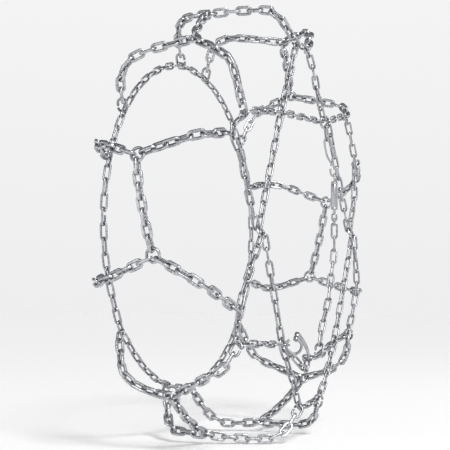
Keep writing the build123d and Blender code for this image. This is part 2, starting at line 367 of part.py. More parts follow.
        (-471.57, 154.25, -153.15, 0.9457, 0.2753, 0.1729, 0.3081, -0.5891, -0.747),
        (-445.05, 161.01, -148, 0.9605, 0.1969, 0.1964, -0.0713, 0.8569, -0.5105),
    ]),
    ("inner_cross_arms_2", "tread", [
        (-150.49, 49.34, 529.18, 0.3352, 0.9391, 0.0749, -0.9135, 0.3435, -0.2181),
        (-140.73, 77.08, 530.49, 0.318, 0.9478, 0.0255, -0.0881, 0.0027, 0.9961),
        (-130.39, 104.57, 530.65, 0.3687, 0.9289, -0.0346, 0.9261, -0.3703, -0.072),
        (-118.43, 128.95, 521.51, 0.521, 0.7175, -0.4623, -0.2046, -0.4208, -0.8838),
        (-100.39, 145.57, 505.98, 0.6234, 0.4155, -0.6624, -0.6636, 0.7291, -0.1672),
        (-82, 155.38, 485.33, 0.6651, 0.2252, -0.712, 0.5447, 0.5059, 0.6689),
        (-62.6, 161.79, 464.09, 0.6449, 0.2061, -0.736, 0.441, -0.8869, 0.138),
        (-363.95, -3.51, 413.49, -0.2209, 0.959, -0.1777, -0.7249, -0.2833, -0.6278),
        (-369.96, 24.33, 407.61, -0.2131, 0.9558, -0.2023, -0.5618, 0.0495, 0.8258),
        (-376.33, 52.04, 401.85, -0.2237, 0.9522, -0.2082, 0.8613, 0.2931, 0.4151),
        (-382.42, 79.73, 394.09, -0.202, 0.9326, -0.2992, 0.3588, -0.2138, -0.9086),
        (-389.65, 106, 383.46, -0.2562, 0.8521, -0.4564, -0.9333, -0.341, -0.1127),
        (-394.87, 126.77, 364.76, -0.1212, 0.643, -0.7562, -0.0765, 0.7535, 0.653),
        (-391.28, 142.71, 343.46, 0.2181, 0.4575, -0.862, 0.9077, -0.4196, 0.0069),
        (-381.49, 153.93, 319.07, 0.5291, 0.249, -0.8112, -0.5286, -0.6511, -0.5446),
        (-365.11, 160.49, 296.04, 0.5966, 0.2057, -0.7757, -0.5215, 0.834, -0.1799),
    ]),
    ("inner_cross_arms_3", "tread", [
        (382.79, 46.13, 395.4, 0.2294, 0.9443, -0.2359, -0.6813, 0.3289, 0.654),
        (388.54, 73.85, 387.7, 0.1725, 0.9474, -0.2695, 0.8118, 0.0183, 0.5837),
        (393.76, 101.22, 379.08, 0.1611, 0.9355, -0.3146, 0.3651, -0.3526, -0.8616),
        (392.92, 126.49, 365.88, -0.0871, 0.8196, -0.5662, -0.9293, -0.2716, -0.2502),
        (387.76, 144.84, 346.21, -0.3936, 0.4554, -0.7986, -0.4399, 0.6695, 0.5986),
        (375.12, 154.87, 322.85, -0.4659, 0.2396, -0.8518, 0.7996, 0.5263, -0.2894),
        (361.33, 161.07, 298.39, -0.4971, 0.1766, -0.8495, 0.2784, -0.8948, -0.349),
        (175.45, -5.44, 522.16, -0.3538, 0.9257, 0.134, -0.8746, -0.3782, 0.3035),
        (164.96, 21.47, 525.15, -0.3619, 0.9261, 0.1066, 0.4303, 0.0645, 0.9004),
        (154.71, 47.34, 528.38, -0.3713, 0.9218, 0.1117, 0.7615, 0.3711, -0.5314),
        (144.13, 73.12, 530.7, -0.3854, 0.9197, 0.0752, -0.6099, -0.1927, -0.7687),
        (134.23, 99.21, 530.62, -0.3556, 0.931, -0.0819, -0.6531, -0.1848, 0.7344),
        (122.48, 123.68, 524.81, -0.3928, 0.8346, -0.3861, 0.647, 0.5492, 0.529),
        (115.51, 142.92, 507.03, -0.2884, 0.5237, -0.8016, 0.5557, -0.5902, -0.5855),
        (109.58, 154.59, 483.16, -0.0735, 0.2613, -0.9625, -0.8591, -0.5068, -0.072),
        (108.12, 161.08, 456.08, -0.0288, 0.1929, -0.9808, -0.3996, 0.8972, 0.1882),
    ]),
    ("inner_cross_arms_4", "tread", [
        (533.74, 46.12, -134.06, -0.0885, 0.9497, -0.3004, 0.2166, 0.3127, 0.9248),
        (529.76, 73.09, -142.5, -0.1521, 0.9429, -0.2962, 0.9082, 0.0151, -0.4184),
        (525.44, 99.41, -151.22, -0.1955, 0.9288, -0.315, -0.5603, -0.3694, -0.7414),
        (514.68, 123.99, -157.15, -0.4936, 0.8546, -0.1612, -0.6761, -0.2604, 0.6892),
        (496.29, 143.4, -160.19, -0.8531, 0.5131, 0.0947, 0.4371, 0.6037, 0.6667),
        (471.58, 154.07, -155.56, -0.9426, 0.2729, 0.1923, 0.0015, 0.5794, -0.815),
        (445.09, 160.82, -149.53, -0.9509, 0.1916, 0.243, -0.2801, -0.8668, -0.4125),
        (539.83, -4.53, 109.56, -0.0625, 0.9274, 0.3687, -0.1734, -0.3739, 0.9111),
        (537.19, 21.38, 119.68, -0.0808, 0.9267, 0.3671, 0.9955, 0.0566, 0.0762),
        (534.96, 47.19, 130.15, -0.0888, 0.9218, 0.3773, -0.075, 0.3715, -0.9254),
        (531.7, 72.92, 140.46, -0.1265, 0.9196, 0.3718, -0.9721, -0.1895, 0.138),
        (526.69, 98.94, 148.8, -0.2484, 0.9335, 0.2585, 0.3001, -0.1796, 0.9369),
        (515.91, 123.52, 155.79, -0.5242, 0.8407, 0.1358, 0.7902, 0.5396, -0.2905),
        (496.76, 143.19, 154.78, -0.8663, 0.4995, -0.0085, -0.3065, -0.545, -0.7804),
        (471.57, 154.25, 153.15, -0.9457, 0.2753, -0.1729, -0.3081, -0.5891, 0.747),
        (445.05, 161.01, 148, -0.9605, 0.1969, -0.1964, 0.0713, 0.8569, 0.5105),
    ]),
    ("inner_cross_arms_5", "tread", [
        (150.35, 48.51, -529.24, -0.3226, 0.9438, -0.0711, 0.918, 0.3303, 0.2196),
        (140.88, 76.35, -530.48, -0.3137, 0.9492, -0.0245, 0.0881, 0.0035, -0.9961),
        (130.61, 103.87, -530.67, -0.3669, 0.9298, 0.0304, -0.9271, -0.3682, 0.0707),
        (118.71, 128.4, -521.77, -0.5159, 0.7272, 0.4529, 0.1977, -0.4133, 0.8889),
        (100.74, 145.21, -506.41, -0.6211, 0.4187, 0.6625, 0.6651, 0.7288, 0.1629),
        (82.4, 155.14, -485.77, -0.664, 0.2307, 0.7112, -0.5433, 0.5047, -0.6709),
        (63.02, 161.69, -464.54, -0.6438, 0.21, 0.7358, -0.4453, -0.8848, -0.137),
        (364.92, -4.06, -412.63, 0.2896, 0.9268, 0.2392, 0.7012, -0.3755, 0.606),
        (372.6, 22.53, -405.1, 0.275, 0.9263, 0.2576, 0.5701, 0.0587, -0.8195),
        (380.73, 48.94, -397.71, 0.2831, 0.9214, 0.2664, -0.8337, 0.3737, -0.4065),
        (388.05, 75.25, -389.43, 0.2486, 0.9201, 0.3027, -0.384, -0.1933, 0.9029),
        (392.52, 102.32, -380.86, 0.08, 0.9397, 0.3325, 0.9605, -0.1618, 0.2262),
        (391.9, 126.96, -367.01, -0.1974, 0.8042, 0.5607, 0.1378, 0.589, -0.7963),
        (382.21, 145.48, -349.1, -0.3578, 0.4246, 0.8317, -0.8572, -0.5026, -0.1122),
        (371.28, 155.25, -324.19, -0.4238, 0.2447, 0.8721, 0.5647, -0.6813, 0.4656),
        (359.04, 161.44, -299.17, -0.434, 0.1755, 0.8837, 0.5815, 0.8038, 0.1259),
    ]),
    ("inner_cross_arms_6", "tread", [
        (-360.35, 45.64, -415.81, -0.1738, 0.9681, 0.1802, 0.6893, 0.2503, -0.6799),
        (-366.46, 73.6, -409.04, -0.2716, 0.9105, 0.3119, -0.7786, -0.0173, -0.6273),
        (-375.84, 98.94, -397.47, -0.3339, 0.8314, 0.4442, -0.4085, -0.5523, 0.7267),
        (-380.9, 122.57, -381.07, -0.098, 0.76, 0.6425, 0.921, -0.1753, 0.3479),
        (-380.44, 139.97, -358.55, 0.2935, 0.4321, 0.8528, 0.2734, 0.8168, -0.508),
        (-370.64, 151.08, -333.17, 0.3397, 0.3133, 0.8868, -0.8309, 0.5418, 0.1269),
        (-360.2, 159.73, -307.01, 0.3851, 0.2697, 0.8826, -0.3354, -0.8501, 0.4061),
        (-153.19, 51.41, -528.32, -0.0939, 0.9939, 0.0573, 0.9567, 0.1061, -0.2712),
        (-156.09, 78.53, -526.12, -0.1176, 0.9907, 0.068, -0.4413, 0.0092, -0.8973),
        (-158.19, 105.37, -523.95, -0.0609, 0.993, 0.1007, -0.7881, -0.1098, 0.6057),
        (-150.92, 127.51, -514.34, 0.4926, 0.7559, 0.4312, 0.5799, -0.6546, 0.4851),
        (-139.21, 144.15, -498.79, 0.5903, 0.4162, 0.6916, 0.5223, 0.4564, -0.7204),
        (-125.68, 154.17, -478.13, 0.3644, 0.2642, 0.893, -0.7507, 0.6507, 0.1138),
        (-116.77, 160.81, -453.26, 0.289, 0.2193, 0.9319, -0.4234, -0.8438, 0.3298),
    ]),
    ("inner_side_hooks", "hook", [
        (-420.06, 167.67, 143.43, 0.9529, 0.2023, -0.226, -0.1541, -0.3187, -0.9352),
        (-420.15, 167.56, -143.12, 0.9628, 0.1963, 0.1858, -0.2475, 0.3643, 0.8978),
        (-45.8, 167.04, 441.92, 0.5718, 0.1226, -0.8112, -0.7497, -0.3234, -0.5774),
        (-349.1, 167.45, 274.64, 0.5843, 0.1942, -0.788, 0.6867, 0.3992, 0.6076),
        (347.9, 167.59, 275.1, -0.4963, 0.1756, -0.8502, -0.8523, -0.2847, 0.4387),
        (107.18, 167.67, 430.43, -0.0419, 0.1963, -0.9796, 0.953, 0.3023, 0.0198),
        (420.07, 167.67, -143.44, -0.9529, 0.2024, 0.2259, 0.154, -0.3187, 0.9353),
        (420.18, 167.56, 143.13, -0.9629, 0.1962, -0.1855, 0.2472, 0.3643, -0.8979),
        (46.44, 166.96, -442.24, -0.5606, 0.1218, 0.8191, 0.755, -0.3311, 0.566),
        (347.42, 167.47, -275.3, -0.4316, 0.1836, 0.8832, -0.7633, 0.4476, -0.466),
        (-347.39, 166.5, -282.7, 0.4899, 0.1627, 0.8564, 0.8429, -0.3392, -0.4177),
        (-109.29, 167.67, -430.11, 0.3022, 0.2041, 0.9311, 0.9112, -0.3488, -0.2193),
    ]),
    ("inner_side_chain_1", "side", [
        (-425.68, 168.91, 34.98, 0.0821, 0.0042, 0.9966, -0.9938, -0.0748, 0.0821),
        (-421.59, 168.88, 70.08, 0.1679, 0.0012, 0.9858, -0.0701, 0.9975, 0.0107),
        (-414.11, 168.91, 104.62, 0.2458, 0.0042, 0.9693, -0.9665, -0.0748, 0.2454),
        (-404.27, 168.87, 138.57, 0.3281, 0.0011, 0.9447, -0.0671, 0.9975, 0.0221),
        (-391.23, 168.91, 171.41, 0.4009, 0.0043, 0.9161, -0.9134, -0.0748, 0.4001),
        (-375.97, 168.88, 203.28, 0.4789, 0.0012, 0.8779, -0.0628, 0.9975, 0.0329),
        (-357.68, 168.91, 233.52, 0.547, 0.0043, 0.8371, -0.8346, -0.0748, 0.5458),
        (-337.36, 168.88, 262.44, 0.6171, 0.0012, 0.7869, -0.0565, 0.9975, 0.0428),
        (-314.35, 168.92, 289.25, 0.6775, 0.0043, 0.7355, -0.7332, -0.0748, 0.6759),
        (-289.54, 168.88, 314.42, 0.7382, 0.0012, 0.6745, -0.0487, 0.9975, 0.0515),
        (-262.42, 168.92, 337.07, 0.7894, 0.0043, 0.6138, -0.6119, -0.0748, 0.7874),
        (-233.81, 168.88, 357.81, 0.8393, 0.0012, 0.5437, -0.0396, 0.9975, 0.0588),
        (-203.33, 168.92, 375.69, 0.8798, 0.0043, 0.4754, -0.4738, -0.0747, 0.8775),
        (-171.69, 168.88, 391.43, 0.9173, 0.0012, 0.3981, -0.0293, 0.9975, 0.0645),
        (-138.69, 168.92, 404.04, 0.9461, 0.0044, 0.324, -0.3227, -0.0748, 0.9435),
        (-104.9, 168.92, 414.4, 0.9697, 0.0029, 0.2444, -0.0202, 0.9975, 0.0682),
        (-70.38, 169.08, 422.03, 0.9813, 0.0114, 0.1919, -0.1906, -0.0722, 0.979),
        (-35.47, 169.18, 427.4, 0.9959, 0.0024, 0.0904, -0.0068, 0.9988, 0.0479),
        (-0.19, 169.13, 428.04, 0.9993, -0.0048, -0.0364, 0.036, -0.0742, 0.9966),
        (35.11, 168.92, 426.04, 0.9959, -0.001, -0.09, 0.0073, 0.9975, 0.0702),
        (70.13, 168.91, 421.38, 0.9863, 0.0043, -0.165, 0.1648, -0.0747, 0.9835),
        (104.77, 168.87, 414.38, 0.9685, 0.0013, -0.2492, 0.0164, 0.9975, 0.0689),
        (138.57, 168.91, 404.09, 0.946, 0.0044, -0.3242, 0.3236, -0.0747, 0.9432),
        (171.59, 168.87, 391.51, 0.9143, 0.0013, -0.405, 0.0275, 0.9975, 0.0654),
        (203.23, 168.91, 375.78, 0.8794, 0.0043, -0.4761, 0.4751, -0.0747, 0.8768),
        (233.72, 168.88, 357.92, 0.8351, 0.0013, -0.5501, 0.0379, 0.9975, 0.06),
        (262.33, 168.91, 337.2, 0.7889, 0.0043, -0.6145, 0.613, -0.0747, 0.7865),
        (289.46, 168.88, 314.56, 0.7331, 0.0013, -0.6801, 0.0473, 0.9975, 0.0529),
        (314.28, 168.92, 289.41, 0.677, 0.0044, -0.736, 0.7342, -0.0747, 0.6748),
        (337.31, 168.88, 262.61, 0.6112, 0.0013, -0.7915, 0.0553, 0.9975, 0.0444),
        (357.64, 168.92, 233.72, 0.5464, 0.0043, -0.8375, 0.8354, -0.0747, 0.5446),
        (375.94, 168.88, 203.49, 0.4723, 0.0013, -0.8815, 0.0619, 0.9975, 0.0347),
        (391.2, 168.92, 171.62, 0.3992, 0.0046, -0.9168, 0.9144, -0.0747, 0.3978),
        (404.24, 168.89, 138.78, 0.321, 0.0012, -0.9471, 0.0671, 0.9975, 0.024),
        (414.12, 168.92, 104.86, 0.2466, 0.0041, -0.9691, 0.9665, -0.0747, 0.2457),
        (421.66, 168.88, 70.33, 0.1608, 0.0013, -0.987, 0.0699, 0.9975, 0.0127),
        (425.78, 168.91, 35.24, 0.0817, 0.0043, -0.9966, 0.9939, -0.0747, 0.0812),
    ]),
    ("inner_side_chain_2", "side", [
        (427.48, 168.88, -0.05, -0.0042, 0.0013, -1, 0.0709, 0.9975, 0.001),
        (425.77, 168.92, -35.34, -0.0836, 0.0043, -0.9965, 0.9937, -0.0747, -0.0836),
        (421.63, 168.88, -70.44, -0.1689, 0.0013, -0.9856, 0.0701, 0.9975, -0.0107),
        (414.11, 168.92, -104.96, -0.2472, 0.0043, -0.9689, 0.9662, -0.0747, -0.2469),
        (404.24, 168.88, -138.89, -0.3289, 0.0012, -0.9444, 0.0672, 0.9975, -0.0221),
        (391.17, 168.91, -171.72, -0.402, 0.0044, -0.9156, 0.9129, -0.0747, -0.4012),
        (375.87, 168.88, -203.57, -0.4797, 0.0013, -0.8774, 0.0628, 0.9975, -0.0329),
        (357.56, 168.91, -233.79, -0.548, 0.0043, -0.8365, 0.834, -0.0747, -0.5468),
        (337.21, 168.88, -262.68, -0.6178, 0.0012, -0.7864, 0.0565, 0.9975, -0.0428),
        (314.17, 168.92, -289.47, -0.6783, 0.0043, -0.7347, 0.7325, -0.0747, -0.6767),
        (289.34, 168.88, -314.61, -0.7388, 0.0012, -0.6739, 0.0487, 0.9975, -0.0515),
        (262.2, 168.92, -337.24, -0.7901, 0.0043, -0.613, 0.611, -0.0747, -0.7881),
        (233.57, 168.88, -357.95, -0.8397, 0.0012, -0.5431, 0.0395, 0.9975, -0.0588),
        (203.07, 168.92, -375.8, -0.8803, 0.0044, -0.4744, 0.4728, -0.0748, -0.878),
        (171.42, 168.88, -391.51, -0.9177, 0.0012, -0.3973, 0.0292, 0.9975, -0.0645),
        (138.39, 168.92, -404.09, -0.9464, 0.0044, -0.3231, 0.3218, -0.0748, -0.9438),
        (104.6, 168.93, -414.45, -0.9695, 0.0034, -0.2452, 0.0208, 0.9975, -0.068),
        (70.11, 169.13, -422.2, -0.9802, 0.013, -0.1975, 0.1961, -0.0717, -0.978),
        (35.21, 169.24, -427.63, -0.9962, 0.0018, -0.0868, 0.0056, 0.9991, -0.043),
        (-0.08, 169.16, -428.1, -0.9991, -0.0058, 0.0418, -0.0413, -0.0742, -0.9964),
        (-35.37, 168.94, -425.94, -0.9956, -0.0015, 0.0933, -0.0081, 0.9975, -0.0699),
        (-70.39, 168.92, -421.16, -0.9857, 0.0043, 0.1682, -0.1681, -0.0748, -0.9829),
        (-105.01, 168.88, -414.08, -0.9683, 0.001, 0.2497, -0.0166, 0.9975, -0.0685),
        (-138.82, 168.91, -403.79, -0.9462, 0.0043, 0.3236, -0.323, -0.0748, -0.9434),
        (-171.85, 168.88, -391.21, -0.9142, 0.0012, 0.4053, -0.0276, 0.9975, -0.0652),
        (-203.48, 168.92, -375.45, -0.8787, 0.0043, 0.4773, -0.4763, -0.0749, -0.8761),
        (-233.95, 168.88, -357.54, -0.8345, 0.0011, 0.551, -0.038, 0.9975, -0.0596),
        (-262.55, 168.92, -336.78, -0.7883, 0.0045, 0.6153, -0.6138, -0.075, -0.7859),
        (-289.77, 168.98, -314.22, -0.7396, 0.0052, 0.673, -0.0443, 0.9974, -0.0564),
        (-315.93, 169.23, -290.42, -0.7372, 0.0156, 0.6755, -0.6747, -0.0725, -0.7346),
        (-340.34, 169.38, -264.97, -0.619, 0.0017, 0.7854, -0.0235, 0.9995, -0.0208),
        (-359.02, 169.28, -235.11, -0.4746, -0.0093, 0.8802, -0.8774, -0.0746, -0.4739),
        (-375.69, 168.98, -203.91, -0.4621, -0.0034, 0.8868, -0.0637, 0.9975, -0.0293),
        (-390.84, 168.92, -171.97, -0.4014, 0.0041, 0.9159, -0.9135, -0.0749, -0.4),
        (-403.94, 168.88, -139.15, -0.3222, 0.0012, 0.9467, -0.0669, 0.9975, -0.024),
        (-413.86, 168.91, -105.23, -0.2477, 0.0041, 0.9688, -0.9662, -0.0749, -0.2467),
        (-421.43, 168.87, -70.71, -0.162, 0.0012, 0.9868, -0.0697, 0.9975, -0.0126),
        (-425.6, 168.91, -35.62, -0.0834, 0.0042, 0.9965, -0.9937, -0.0749, -0.0829),
    ]),
    ("inner_closing_hook", "open", [
        (-427.35, 168.87, -0.32, 0.0031, 0.0012, 1, -0.0709, 0.9975, -0.001),
    ]),
    ("tension_chain", "side", [
        (-151.16, -167.16, -277.04, -0.4456, -0.034, 0.8946, -0.8951, -0.0004, -0.4458),
        (-166.71, -168.19, -245.85, -0.4461, -0.0247, 0.8946, -0.1395, -0.9855, -0.0968),
        (-182.24, -169.05, -214.7, -0.4461, -0.0247, 0.8946, 0.8032, -0.452, 0.388),
        (-197.77, -169.91, -183.55, -0.4461, -0.0247, 0.8946, 0.5174, 0.8085, 0.2804),
        (-213.31, -170.77, -152.4, -0.4461, -0.0247, 0.8946, -0.633, 0.7154, -0.2959),
        (-228.84, -171.63, -121.25, -0.4461, -0.0247, 0.8946, -0.732, -0.5651, -0.3806),
        (-244.37, -172.49, -90.1, -0.4461, -0.0247, 0.8946, 0.3784, -0.9111, 0.1635),
        (-259.9, -173.35, -58.95, -0.4461, -0.0247, 0.8946, 0.8658, 0.2411, 0.4384),
        (-262.59, -160.28, -11.05, 0.3693, -0.0237, 0.929, -0.9084, 0.2014, 0.3663),
        (-250.09, -161.09, 20.4, 0.3693, -0.0237, 0.929, -0.1709, -0.9844, 0.0428),
        (-237.58, -161.89, 51.85, 0.3693, -0.0237, 0.929, 0.9173, -0.1506, -0.3685),
        (-225.08, -162.69, 83.3, 0.3693, -0.0237, 0.929, 0.1301, 0.9911, -0.0264),
        (-212.58, -163.5, 114.75, 0.3693, -0.0237, 0.929, -0.9221, 0.1151, 0.3695),
        (-200.08, -164.3, 146.2, 0.3693, -0.0237, 0.929, -0.1052, -0.9943, 0.0164),
        (-187.58, -165.1, 177.65, 0.3693, -0.0237, 0.929, 0.9241, -0.0959, -0.3698),
        (-175.08, -165.91, 209.09, 0.3693, -0.0237, 0.929, 0.0925, 0.9956, -0.0114),
        (-162.58, -166.71, 240.54, 0.3693, -0.0237, 0.929, -0.9293, 0.0001, 0.3694),
        (-120.07, -166.65, 268.52, 0.9979, 0.0193, 0.0616, -0.0614, -0.0108, 0.9981),
        (-84.84, -165.98, 270.59, 0.9982, 0.0204, 0.0568, 0.0277, -0.9908, -0.1326),
        (-49.65, -165.26, 272.65, 0.998, 0.0231, 0.0593, 0.0483, 0.3311, -0.9424),
        (-14.46, -164.56, 274.7, 0.998, 0.0182, 0.061, -0.0477, 0.8483, 0.5274),
        (20.72, -163.84, 276.73, 0.9983, 0.0179, 0.0546, -0.0262, -0.7039, 0.7098),
        (55.9, -163.14, 278.82, 0.9981, 0.0206, 0.0588, 0.061, -0.5162, -0.8543),
        (91.07, -162.42, 280.83, 0.9981, 0.0233, 0.0567, -0.0066, 0.9603, -0.2787),
        (126.29, -161.58, 282.23, 0.9991, 0.0279, 0.0323, -0.0337, 0.0538, 0.998),
        (173.46, -173.22, 264.89, 0.5833, 0.0526, -0.8106, 0.7939, -0.2478, 0.5552),
        (192.86, -171.77, 237.58, 0.5752, 0.0329, -0.8173, -0.2911, -0.9255, -0.2421),
        (212.36, -170.66, 209.87, 0.5752, 0.0329, -0.8173, -0.7156, 0.5044, -0.4833),
        (231.85, -169.54, 182.17, 0.5752, 0.0329, -0.8173, 0.4834, 0.7924, 0.3721),
        (251.35, -168.43, 154.47, 0.5752, 0.0329, -0.8173, 0.5918, -0.7065, 0.3881),
        (270.85, -167.31, 126.76, 0.5752, 0.0329, -0.8173, -0.6381, -0.6071, -0.4735),
        (290.35, -166.2, 99.06, 0.5752, 0.0329, -0.8173, -0.4339, 0.8593, -0.2708),
        (309.84, -165.08, 71.36, 0.5752, 0.0329, -0.8173, 0.7452, 0.3911, 0.5402),
        (329.34, -163.97, 43.65, 0.5752, 0.0329, -0.8173, 0.3056, -0.9355, 0.1775),
        (348.39, -163.39, 16.03, 0.5488, -0.0009, -0.836, -0.8032, -0.2779, -0.527),
        (353.02, -174.15, -29.56, -0.4226, 0.0143, -0.9062, 0.8852, -0.2081, -0.4161),
        (338.36, -173.65, -61.01, -0.4226, 0.0143, -0.9062, -0.2078, -0.9748, 0.0815),
        (323.69, -173.16, -92.47, -0.4226, 0.0143, -0.9062, -0.8793, 0.2357, 0.4138),
        (309.02, -172.66, -123.92, -0.4226, 0.0143, -0.9062, 0.2132, 0.9734, -0.0841),
        (294.35, -172.17, -155.37, -0.4226, 0.0143, -0.9062, 0.8849, -0.2093, -0.416),
        (279.68, -171.67, -186.82, -0.4226, 0.0143, -0.9062, -0.1666, -0.9841, 0.0622),
        (265.02, -171.18, -218.27, -0.4226, 0.0143, -0.9062, -0.8974, 0.1336, 0.4206),
        (250.35, -170.68, -249.72, -0.4226, 0.0143, -0.9062, 0.0691, 0.9975, -0.0165),
        (235.68, -170.19, -281.17, -0.4226, 0.0143, -0.9062, 0.9063, -0.0001, -0.4227),
        (160.15, -170.21, 254.23, 0.2199, -0.0615, -0.9736, 0.7064, -0.6783, 0.2024),
    ]),
    ("lock_chain", "side", [
        (-108.84, -162.72, -304.57, 0.9755, 0.2105, -0.0638, 0.0685, -0.0155, 0.9975),
        (6.4, -175.62, -341.73, 0.9838, -0.1767, -0.0299, 0.175, 0.9831, -0.0529),
        (38.66, -178.82, -341.24, 0.999, -0.0442, -0.0006, -0.0106, -0.2519, 0.9677),
        (70.89, -179.43, -339.14, 0.9949, -0.0047, 0.101, 0.045, -0.8739, -0.484),
        (102.73, -178.63, -334.11, 0.9711, 0.0602, 0.2308, 0.1261, 0.6918, -0.711),
        (134.2, -176.47, -326.72, 0.9678, 0.0783, 0.2392, -0.2444, 0.5194, 0.8188),
        (165.62, -173.79, -319.21, 0.9718, 0.0862, 0.2194, 0.0208, -0.9584, 0.2847),
        (196.96, -170.96, -311.97, 0.9681, 0.0909, 0.2333, 0.2336, 0.0084, -0.9723),
        (-5.27, -179.31, -355.48, -0.7847, -0.2388, -0.572, 0.6182, -0.3687, -0.6942),
        (-35.32, -188.2, -367.26, -0.9736, -0.216, -0.0739, 0.1892, -0.9444, 0.2689),
        (-67.68, -192.5, -361.13, -0.9203, -0.0535, 0.3875, 0.3812, 0.0993, 0.9191),
        (-96.07, -188.15, -343.82, -0.7247, 0.2893, 0.6254, 0.2268, 0.9572, -0.18),
        (-118.86, -173.58, -322.04, -0.5642, 0.5698, 0.5975, -0.7033, 0.0472, -0.7093),
    ]),
    ("tensioner_links", "small", [
        (201.01, -178, 16.63, 0.001, 0.0003, -1, 0.361, -0.9326, 0.0001),
    ]),
    ("tensioner_links", "side", [
        (201.01, -178, -7.51, -0.0001, -0.0002, -1, -0.947, -0.3212, 0.0001),
    ]),
    ("tail_chain", "side", [
        (200.93, -177.99, -42.79, -0.0051, 0.0004, -1, -0.286, 0.9582, 0.0018),
        (196.21, -178.01, -77.34, -0.2463, -0.0003, -0.9692, 0.9402, 0.2428, -0.239),
        (184.9, -177.97, -110.56, -0.4049, 0.0004, -0.9144, 0.1847, -0.9794, -0.0822),
        (172.59, -178.3, -143.52, -0.324, -0.0191, -0.9459, -0.9304, -0.175, 0.3222),
        (159.75, -178.92, -176.1, -0.3794, -0.0267, -0.9249, -0.1411, 0.9896, 0.0293),
        (143.31, -179.78, -206.85, -0.5595, -0.0185, -0.8286, 0.8243, 0.0925, -0.5586),
        (121.93, -180.4, -234.8, -0.66, -0.0154, -0.7511, 0.0487, -0.9986, -0.0223),
        (101.35, -181.07, -263.24, -0.5246, -0.0216, -0.8511, -0.8513, 0.0186, 0.5243),
        (85.36, -181.92, -294.49, -0.3691, -0.0278, -0.929, 0.0442, 0.9979, -0.0475),
    ]),
    ("tail_hook", "hook", [
        (73.9, -182.78, -323.55, -0.3558, -0.0286, -0.9341, 0.9345, -0.0184, -0.3554),
    ]),
    ("tread_ring_1", "ring", [
        (-541.47, -26.97, -97.33, 0.1915, 0.1544, -0.9693, -0.9806, -0.012, -0.1957),
    ]),
    ("tread_ring_2", "ring", [
        (-535.77, 17.99, 126.75, -0.2166, 0.2816, -0.9348, -0.9732, 0.014, 0.2297),
    ]),
    ("tread_ring_3", "ring", [
        (-355.7, -27.44, 419.73, -0.7015, 0.3682, -0.6102, -0.6596, -0.0113, 0.7515),
    ]),
    ("tread_ring_4", "ring", [
        (-160.17, 24.64, 526.56, -0.8964, 0.3554, -0.2649, -0.2826, 0.0022, 0.9592),
    ]),
    ("tread_ring_5", "ring", [
        (184.66, -30.06, 518.45, -0.9178, 0.2336, 0.3211, 0.3297, -0.0027, 0.9441),
    ]),
    ("tread_ring_6", "ring", [
        (375.1, 21.96, 402.74, -0.7223, 0.0941, 0.6852, 0.689, 0.0126, 0.7246),
    ]),
    ("tread_ring_7", "ring", [
        (541.39, -28.32, 98.86, -0.1859, -0.1562, 0.9701, 0.9821, 0.0004, 0.1883),
    ]),
    ("tread_ring_8", "ring", [
        (535.94, 22.06, -124.26, 0.2396, -0.2844, 0.9283, 0.969, 0.0112, -0.2467),
    ]),
    ("tread_ring_9", "ring", [
        (355.29, -27.14, -419.98, 0.6936, -0.3668, 0.62, 0.6617, -0.0158, -0.7496),
    ]),
    ("tread_ring_10", "ring", [
        (159.41, 23.52, -526.75, 0.8968, -0.3577, 0.2605, 0.2779, -0.0028, -0.9606),
    ]),
    ("tread_ring_11", "ring", [
        (-154.15, 26.49, -528.31, 0.9272, -0.2595, -0.27, -0.2718, 0.0297, -0.9619),
    ]),
    ("tread_ring_12", "ring", [
        (-355.8, 19.65, -420.22, 0.7612, -0.1141, -0.6384, -0.6417, 0.0103, -0.7669),
    ]),
    ("junction_ring_1", "ring", [
        (-273.76, -167, -35.07, -0.8971, 0.213, 0.3872, 0, -0.8762, 0.4819),
    ]),
    ("junction_ring_2", "ring", [
        (-149.61, -166.95, 266.83, -0.5558, -0.0015, 0.8313, 0.0026, -1, -0.0001),
    ]),
    ("junction_ring_3", "ring", [
        (154.2, -168.19, 282.46, -0.8049, 0.4048, -0.4339, -0.4423, -0.8967, -0.0161),
    ]),
    ("junction_ring_4", "ring", [
        (366.24, -168.45, -5.91, -0.8896, 0.1828, 0.4186, 0.0037, -0.9135, 0.4067),
    ]),
    ("junction_ring_5", "ring", [
        (223.36, -170, -307.43, -0.5547, 0, 0.8321, 0, -1, 0),
    ]),
    ("junction_ring_6", "ring", [
        (-138.08, -166.21, -303.05, -0.5439, -0.0225, 0.8389, 0.0377, -0.9993, -0.0024),
    ]),
]


def slot_path(length, width, wire, gap=None):
    """Centre line of a link: two straights and two half circles, open over gap = (from, to) on one straight."""
    r = (width - wire) / 2
    h = (length - width) / 2
    a, b = gap if gap else (0.0, 0.0)
    edges = [
        Line((a, r), (-h, r)),
        ThreePointArc((-h, r), (-h - r, 0), (-h, -r)),
        Line((-h, -r), (h, -r)),
        ThreePointArc((h, -r), (h + r, 0), (h, r)),
    ]
    if b < h - 1e-6:
        edges.append(Line((h, r), (b, r)))
    return Wire([e for e in edges])


def wire_link(length, width, wire, gap=None):
    path = slot_path(length, width, wire, gap)
    start = path @ 0
    plane = Plane(origin=start, z_dir=path % 0)
    body = sweep(plane * Circle(wire / 2), path=path)
    if gap:
        ends = [f for f in body.faces() if f.geom_type == GeomType.PLANE]
        body = fillet([e for f in ends for e in f.edges()], wire * 0.17)
    return body.solid()


def square_link(length, width, wire, corner):
    flat = SlotOverall(length, width) - SlotOverall(length - 2 * wire, width - 2 * wire)
    body = extrude(flat, wire / 2, both=True)
    rims = [e for f in body.faces().sort_by(Axis.Z)[-1:] + body.faces().sort_by(Axis.Z)[:1] for e in f.edges()]
    return fillet(rims, corner).solid()


def placed(master, row):
    return Location(Plane(origin=row[0:3], x_dir=row[3:6], z_dir=row[6:9])) * master


